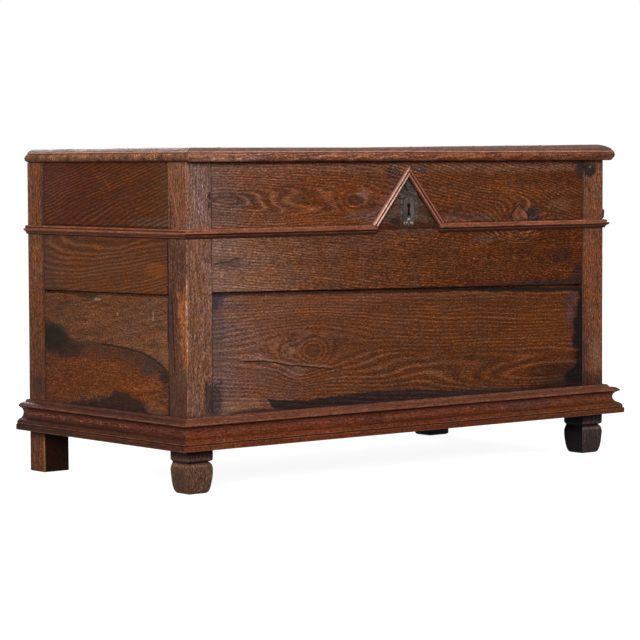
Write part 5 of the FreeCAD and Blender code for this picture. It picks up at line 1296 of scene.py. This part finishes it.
for prefix, profile, bottom, step, wave, chips, front_runs in (
        ("base", BASE_OUTLINE, BASE_Z, 8.0, 0.55, 1.0, {"front": (LEFT_MITRE, RIGHT_MITRE)}),
        ("waist", WAIST_OUTLINE, WAIST_Z, 6.0, 0.35, 0.6, {"front_left": (LEFT_MITRE, cut_at(-118.0)),
                                                          "front_right": (cut_at(112.0), RIGHT_MITRE)})):
    runs = {side: (side_place(bottom, sign), cut_at(FRONT, -1.0), cut_at(BACK))
            for side, sign in (("left", -1.0), ("right", 1.0))}
    runs.update({side: (front_place(bottom), *cuts) for side, cuts in front_runs.items()})
    for side, (place, begin, end) in runs.items():
        mesh = moulding(profile, place, begin, end, step, wave, chips, len(prefix))
        piece(f"{prefix}_moulding_{side}", mesh, "carcase")


# ---------------------------------------------------------------- lid
LID_CORNER = 6.0
LID_REAR_CORNER = 14.0
LID_THICKNESS = 38.0
LID_TOP = 37.6          # over the carcase, when shut
# How far the ends of the planks lie in from the moulded edge, by height.
LID_END = ((0.0, 1.5, 4.0, 8.0, 12.0, 17.0, 20.0, 23.0, 26.0),
           (9.0, 5.5, 2.0, -0.2, -0.8, 0.0, 1.6, 2.6, 2.6))
LID_EDGE = np.vstack([outline((5.0, 0.0), [((1.2, 4.0), (0.0, 10.0)), ((2.0, 19.0), (6.2, 23.6))], 6),
                      [(7.2, 24.3), (6.3, 25.0), (6.2, 26.0)]])
LID_MARGIN = np.vstack([[(7.0, 26.3), (8.6, 26.0), (9.6, 25.6), (11.0, 26.9)],
                        outline((12.5, 28.2), [((26.0, 34.6), (50.0, 38.0))], 12)])


def lid_rise(x, k):
    """How far the lid bows up towards its right end; k is 0 at its underside and 1 at its top."""
    return (ease(k, 0.0, 0.15) * 4.0 + k * 4.5) * np.maximum(x, 0.0) / LID_X1


def lid_plank(y0, y1, moulded_front, seed):
    """One plank of the lid, its moulded edge on the ends and, for the first one, on the front."""
    near = np.array([0.0, 0.8, 1.8, 3.0, 4.2, 6.0, 9.0, 13.0, 19.0, 26.0, 34.0, 43.0, 53.0])
    sx = np.concatenate([LID_X0 + near, np.linspace(LID_X0 + 60.0, LID_X1 - 60.0, 190),
                         (LID_X1 - near)[::-1]])
    square = np.array([0.0, 1.0, 2.2, 3.6, 6.0, 10.0])
    first = near if moulded_front else square
    sy = np.concatenate([y0 + first, np.linspace(y0 + first[-1] + 7.0, y1 - 17.0, 22), (y1 - square)[::-1]])
    sz = np.array([0.0, 0.05, 0.14, 0.26, 0.38, 0.5, 0.62, 0.73, 0.83, 0.905, 0.935, 0.962, 1.0])
    points, faces = box_grid(sx, sy, sz)
    x, y, k = points.T.copy()
    end_in = np.minimum(x - LID_X0, LID_X1 - x)
    if moulded_front:
        for end, inward in ((LID_X0, 1.0), (LID_X1, -1.0)):
            x, y = round_corner(x, y, (end, y0), (inward, 1.0), LID_CORNER)
        inset = np.minimum(end_in, y - y0)
    else:
        inset = end_in
    if y1 == BACK:
        x, y = round_corner(x, y, (LID_X0, y1), (1.0, -1.0), LID_REAR_CORNER)
    inset = np.maximum(inset, 0.0)
    top = np.where(inset < 43.0, np.interp(inset + 7.0, LID_MARGIN[:, 0], LID_MARGIN[:, 1]), LID_THICKNESS)
    h = k * top
    edge_in = np.interp(k * 26.0, LID_EDGE[:, 1], LID_EDGE[:, 0])
    round_in = np.interp(k * 26.0, *LID_END)
    at_end = ease(end_in, 40.0, 0.0)
    at_front = ease(points[:, 1] - y0, 40.0, 0.0) if moulded_front else 0.0 * x
    inward = np.where(x < 0.0, 1.0, -1.0)
    pit = np.maximum(rough(np.stack([x, y, h], 1), (0.045, 0.06, 0.09), seed + 4, 3) - 0.22, 0.0)
    plan = np.stack([x, y, 0.0 * x], 1)
    sway = 0.7 * noise(plan, (0.006, 0.006, 0.0), seed + 6) + 0.5 * noise(plan, (0.02, 0.02, 0.0), seed + 7)
    eaten = sway - 0.1 + pit * 2.0 * ease(k, 0.05, 0.3)
    lift = 0.5 * rough(plan, (0.003, 0.012, 0.01), seed, 3) - 0.4
    z = TOP + 0.3 + h * (LID_TOP / LID_THICKNESS) + lid_rise(x, k) + k * lift * ease(inset, 4.0, 20.0)
    z = z - pit * 1.2 * ease(inset, 30.0, 6.0) * ease(k, 0.6, 1.0)
    x = x + inward * (edge_in + round_in + eaten) * at_end
    y = y + (edge_in + eaten) * at_front
    seams = [(y1, -1.0)] if moulded_front else [(y0, 1.0), (y1, -1.0)]
    for place, sign in seams:
        d = (points[:, 1] - place) * sign
        z = z - np.where(k > 0.999, 1.5 * ease(d, 4.0, 0.0), 0.0)
        y = y + sign * 0.2 * (d < 1.5)
    wear = ease(inset, 30.0, 4.0) * ease(h, 6.0, 14.0) * 0.8
    return oriented(np.stack([x, y, z], 1), faces, wear)


for name, y0, y1, seed in (("front", LID_Y0, -96.0, 61), ("middle", -96.0, 194.0, 62),
                           ("rear", 194.0, BACK, 63)):
    piece(f"lid_{name}_plank", lid_plank(y0, y1, name == "front", seed), "lid")

# Battens and floor boards: their boxes grown into the lid, or shrunk from their neighbours.
for node, body, seed, grow in [(f"lid_{side}_batten", "lid", 71, ((0.0, 0.0, 0.0), (0.0, 0.0, 0.4)))
                               for side in ("left", "right")] + [
        (f"floor_board_{k}", "carcase", 80 + k, ((0.4, 0.0, 0.0), (-0.4, 0.0, 0.0))) for k in range(1, 7)]:
    low, high = (np.array(corner) / MM + more for corner, more in zip(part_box(node), grow))
    piece(node, oriented(*worn_box(low, high, 1.8, 12.0, 0.45, 1.3, seed)), body)


def nail_heads(places, seed):
    """Hand-forged heads, slightly domed and out of round, let into the wood at these points."""
    parts = []
    angle = np.linspace(0.0, 2.0 * math.pi, 15)[:-1]
    n = len(angle)
    rings = ((-2.0, 1.0), (-0.2, 1.0), (0.4, 0.9), (0.8, 0.55))    # (height, share of the radius)
    i = np.arange(n)
    j = np.roll(i, -1)
    quads = np.concatenate([np.stack([i, j, j + n, i + n], 1) + n * level for level in range(len(rings) - 1)])
    faces = [quads, i[None, ::-1], i[None] + n * (len(rings) - 1)]
    for k, (x, y, z) in enumerate(places):
        r = 4.6 + 0.5 * np.sin(3.0 * angle + k * 2.1 + seed) + 0.3 * np.sin(5.0 * angle + k)
        points = np.concatenate([np.stack([x + r * share * np.cos(angle), y + r * share * np.sin(angle),
                                           np.full(n, z + rise)], 1) for rise, share in rings])
        parts.append((points, faces, np.zeros(len(points))))
    return oriented(*joined(parts))


# A small dark lump on the right post, over the waist moulding.
LUMP_BOX = (741.0, -350.5, 679.5), (759.5, -332.0, 708.0)
lump = add_mesh("post_lump", *oriented(*worn_box(*LUMP_BOX, 7.5, 3.0, 1.6, 0.0, 77)))
lump.data.materials.append(base_y)
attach(lump, "carcase")

BATTEN_X = 580.0
heads = [(x, y, TOP + LID_TOP + float(lid_rise(np.array(x), np.array(1.0))))
         for x in (-BATTEN_X, BATTEN_X) for y in np.linspace(-265.0, 297.0, 5)]
piece("lid_batten_nails", nail_heads(heads, 5.0), "lid")

# ---------------------------------------------------------------- stage, light, camera
FLOOR_REACH = 60.0      # metres
floor_mesh = bpy.data.meshes.new("stage_floor")
corners = [(x * FLOOR_REACH, y * FLOOR_REACH, 0.0) for x, y in ((-1, -1), (1, -1), (1, 1), (-1, 1))]
floor_mesh.from_pydata(corners, [], [(0, 1, 2, 3)])
floor = bpy.data.objects.new("stage_floor", floor_mesh)
bpy.context.scene.collection.objects.link(floor)


def seen_rays(net):
    """1 for rays that show a surface to the camera, straight, mirrored or through glass."""
    path = net.node("LightPath")
    camera_ray, glossy_ray, clear_ray = (Val(net, path.outputs[f"Is {kind} Ray"])
                                         for kind in ("Camera", "Glossy", "Transmission"))
    return camera_ray.max(glossy_ray).max(clear_ray)


paper = Net("stage_floor_paper")
seen = seen_rays(paper)
away = (paper.x * paper.x + paper.y * paper.y) ** 0.5
shade = seen * 0.18 + 0.14 + paper.noise(paper.object, (3.0, 3.0, 3.0), 1, detail=4.0) * 0.01
paper.shader.inputs["Specular IOR Level"].default_value = 0.0
paper.shader.inputs["Roughness"].default_value = 0.9
paper.feed(paper.shader.inputs["Base Color"], paper.join(shade, shade, shade))
glow = paper.node("Emission")
paper.feed(glow.inputs["Strength"], seen * away.ramp(1.6, 5.0, 0.925, 1.0))
both = paper.node("AddShader")
paper.tree.links.new(paper.shader.outputs[0], both.inputs[0])
paper.tree.links.new(glow.outputs[0], both.inputs[1])
output = next(n for n in paper.tree.nodes if n.type == "OUTPUT_MATERIAL")
paper.tree.links.new(both.outputs[0], output.inputs[0])
floor_mesh.materials.append(paper.material)

WORLD_LIGHT = 0.24      # strength for rays that only light; seen, the world is white
world = bpy.data.worlds.new("studio")
bpy.context.scene.world = world
world.use_nodes = True


class WorldNet(Net):
    """The same helpers over the world's nodes."""

    def __init__(self, tree):
        self.tree = tree


sky = WorldNet(world.node_tree)
background = next(n for n in sky.tree.nodes if n.type == "BACKGROUND")
sky.feed(background.inputs["Strength"], seen_rays(sky) * (1.0 - WORLD_LIGHT) + WORLD_LIGHT)
background.inputs["Color"].default_value = (1.0, 1.0, 1.0, 1.0)


def area_light(name, place, aim, size, power):
    """A white lamp at a place, turned to what it lights."""
    data = bpy.data.lights.new(name, "AREA")
    data.shape = "RECTANGLE"
    data.size, data.size_y = size
    data.energy = power
    obj = bpy.data.objects.new(name, data)
    z = -(np.array(aim, float) - np.array(place, float))
    z /= np.linalg.norm(z)
    x = np.cross((0.0, 0.0, 1.0), z)
    x /= np.linalg.norm(x)
    y = np.cross(z, x)
    obj.matrix_world = Matrix([[x[0], y[0], z[0], place[0]], [x[1], y[1], z[1], place[1]],
                               [x[2], y[2], z[2], place[2]], [0, 0, 0, 1]])
    bpy.context.scene.collection.objects.link(obj)


area_light("key", (-5.6, -4.6, 2.6), (0.0, -0.2, 0.45), (2.8, 2.0), 560.0)
area_light("above", (0.0, -0.3, 5.0), (0.0, -0.29, 0.9), (3.2, 2.4), 66.0)
area_light("rear", (2.4, 6.4, 3.0), (0.0, 0.3, 0.5), (3.0, 2.4), 240.0)
area_light("fill", (3.6, -5.0, 2.2), (0.0, 0.0, 0.45), (2.6, 2.0), 80.0)

camera_data = bpy.data.cameras.new("camera")
SENSOR = 36.0
FOCAL_PIXELS, IMAGE_PIXELS = 2582.88, 640.0
camera_data.sensor_width = SENSOR
camera_data.lens = SENSOR * FOCAL_PIXELS / IMAGE_PIXELS
camera_data.clip_end = 200.0
camera = bpy.data.objects.new("camera", camera_data)
bpy.context.scene.collection.objects.link(camera)
yaw, pitch, roll = (math.radians(d) for d in (-39.351, 3.508, -0.261))
ahead = np.array([-math.sin(yaw), math.cos(yaw), 0.0])
right = np.array([math.cos(yaw), math.sin(yaw), 0.0])
up = np.array([0.0, 0.0, 1.0])
forward = ahead * math.cos(pitch) - up * math.sin(pitch)
lifted = up * math.cos(pitch) + ahead * math.sin(pitch)
side = right * math.cos(roll) + lifted * math.sin(roll)
top = lifted * math.cos(roll) - right * math.sin(roll)
spot = np.array([-3887.3 - HALF, -5274.2 + FRONT, 848.9]) * MM
camera.matrix_world = Matrix([[side[i], top[i], -forward[i], spot[i]] for i in range(3)] + [[0, 0, 0, 1]])
bpy.context.scene.camera = camera
bpy.context.scene.view_settings.view_transform = "Standard"
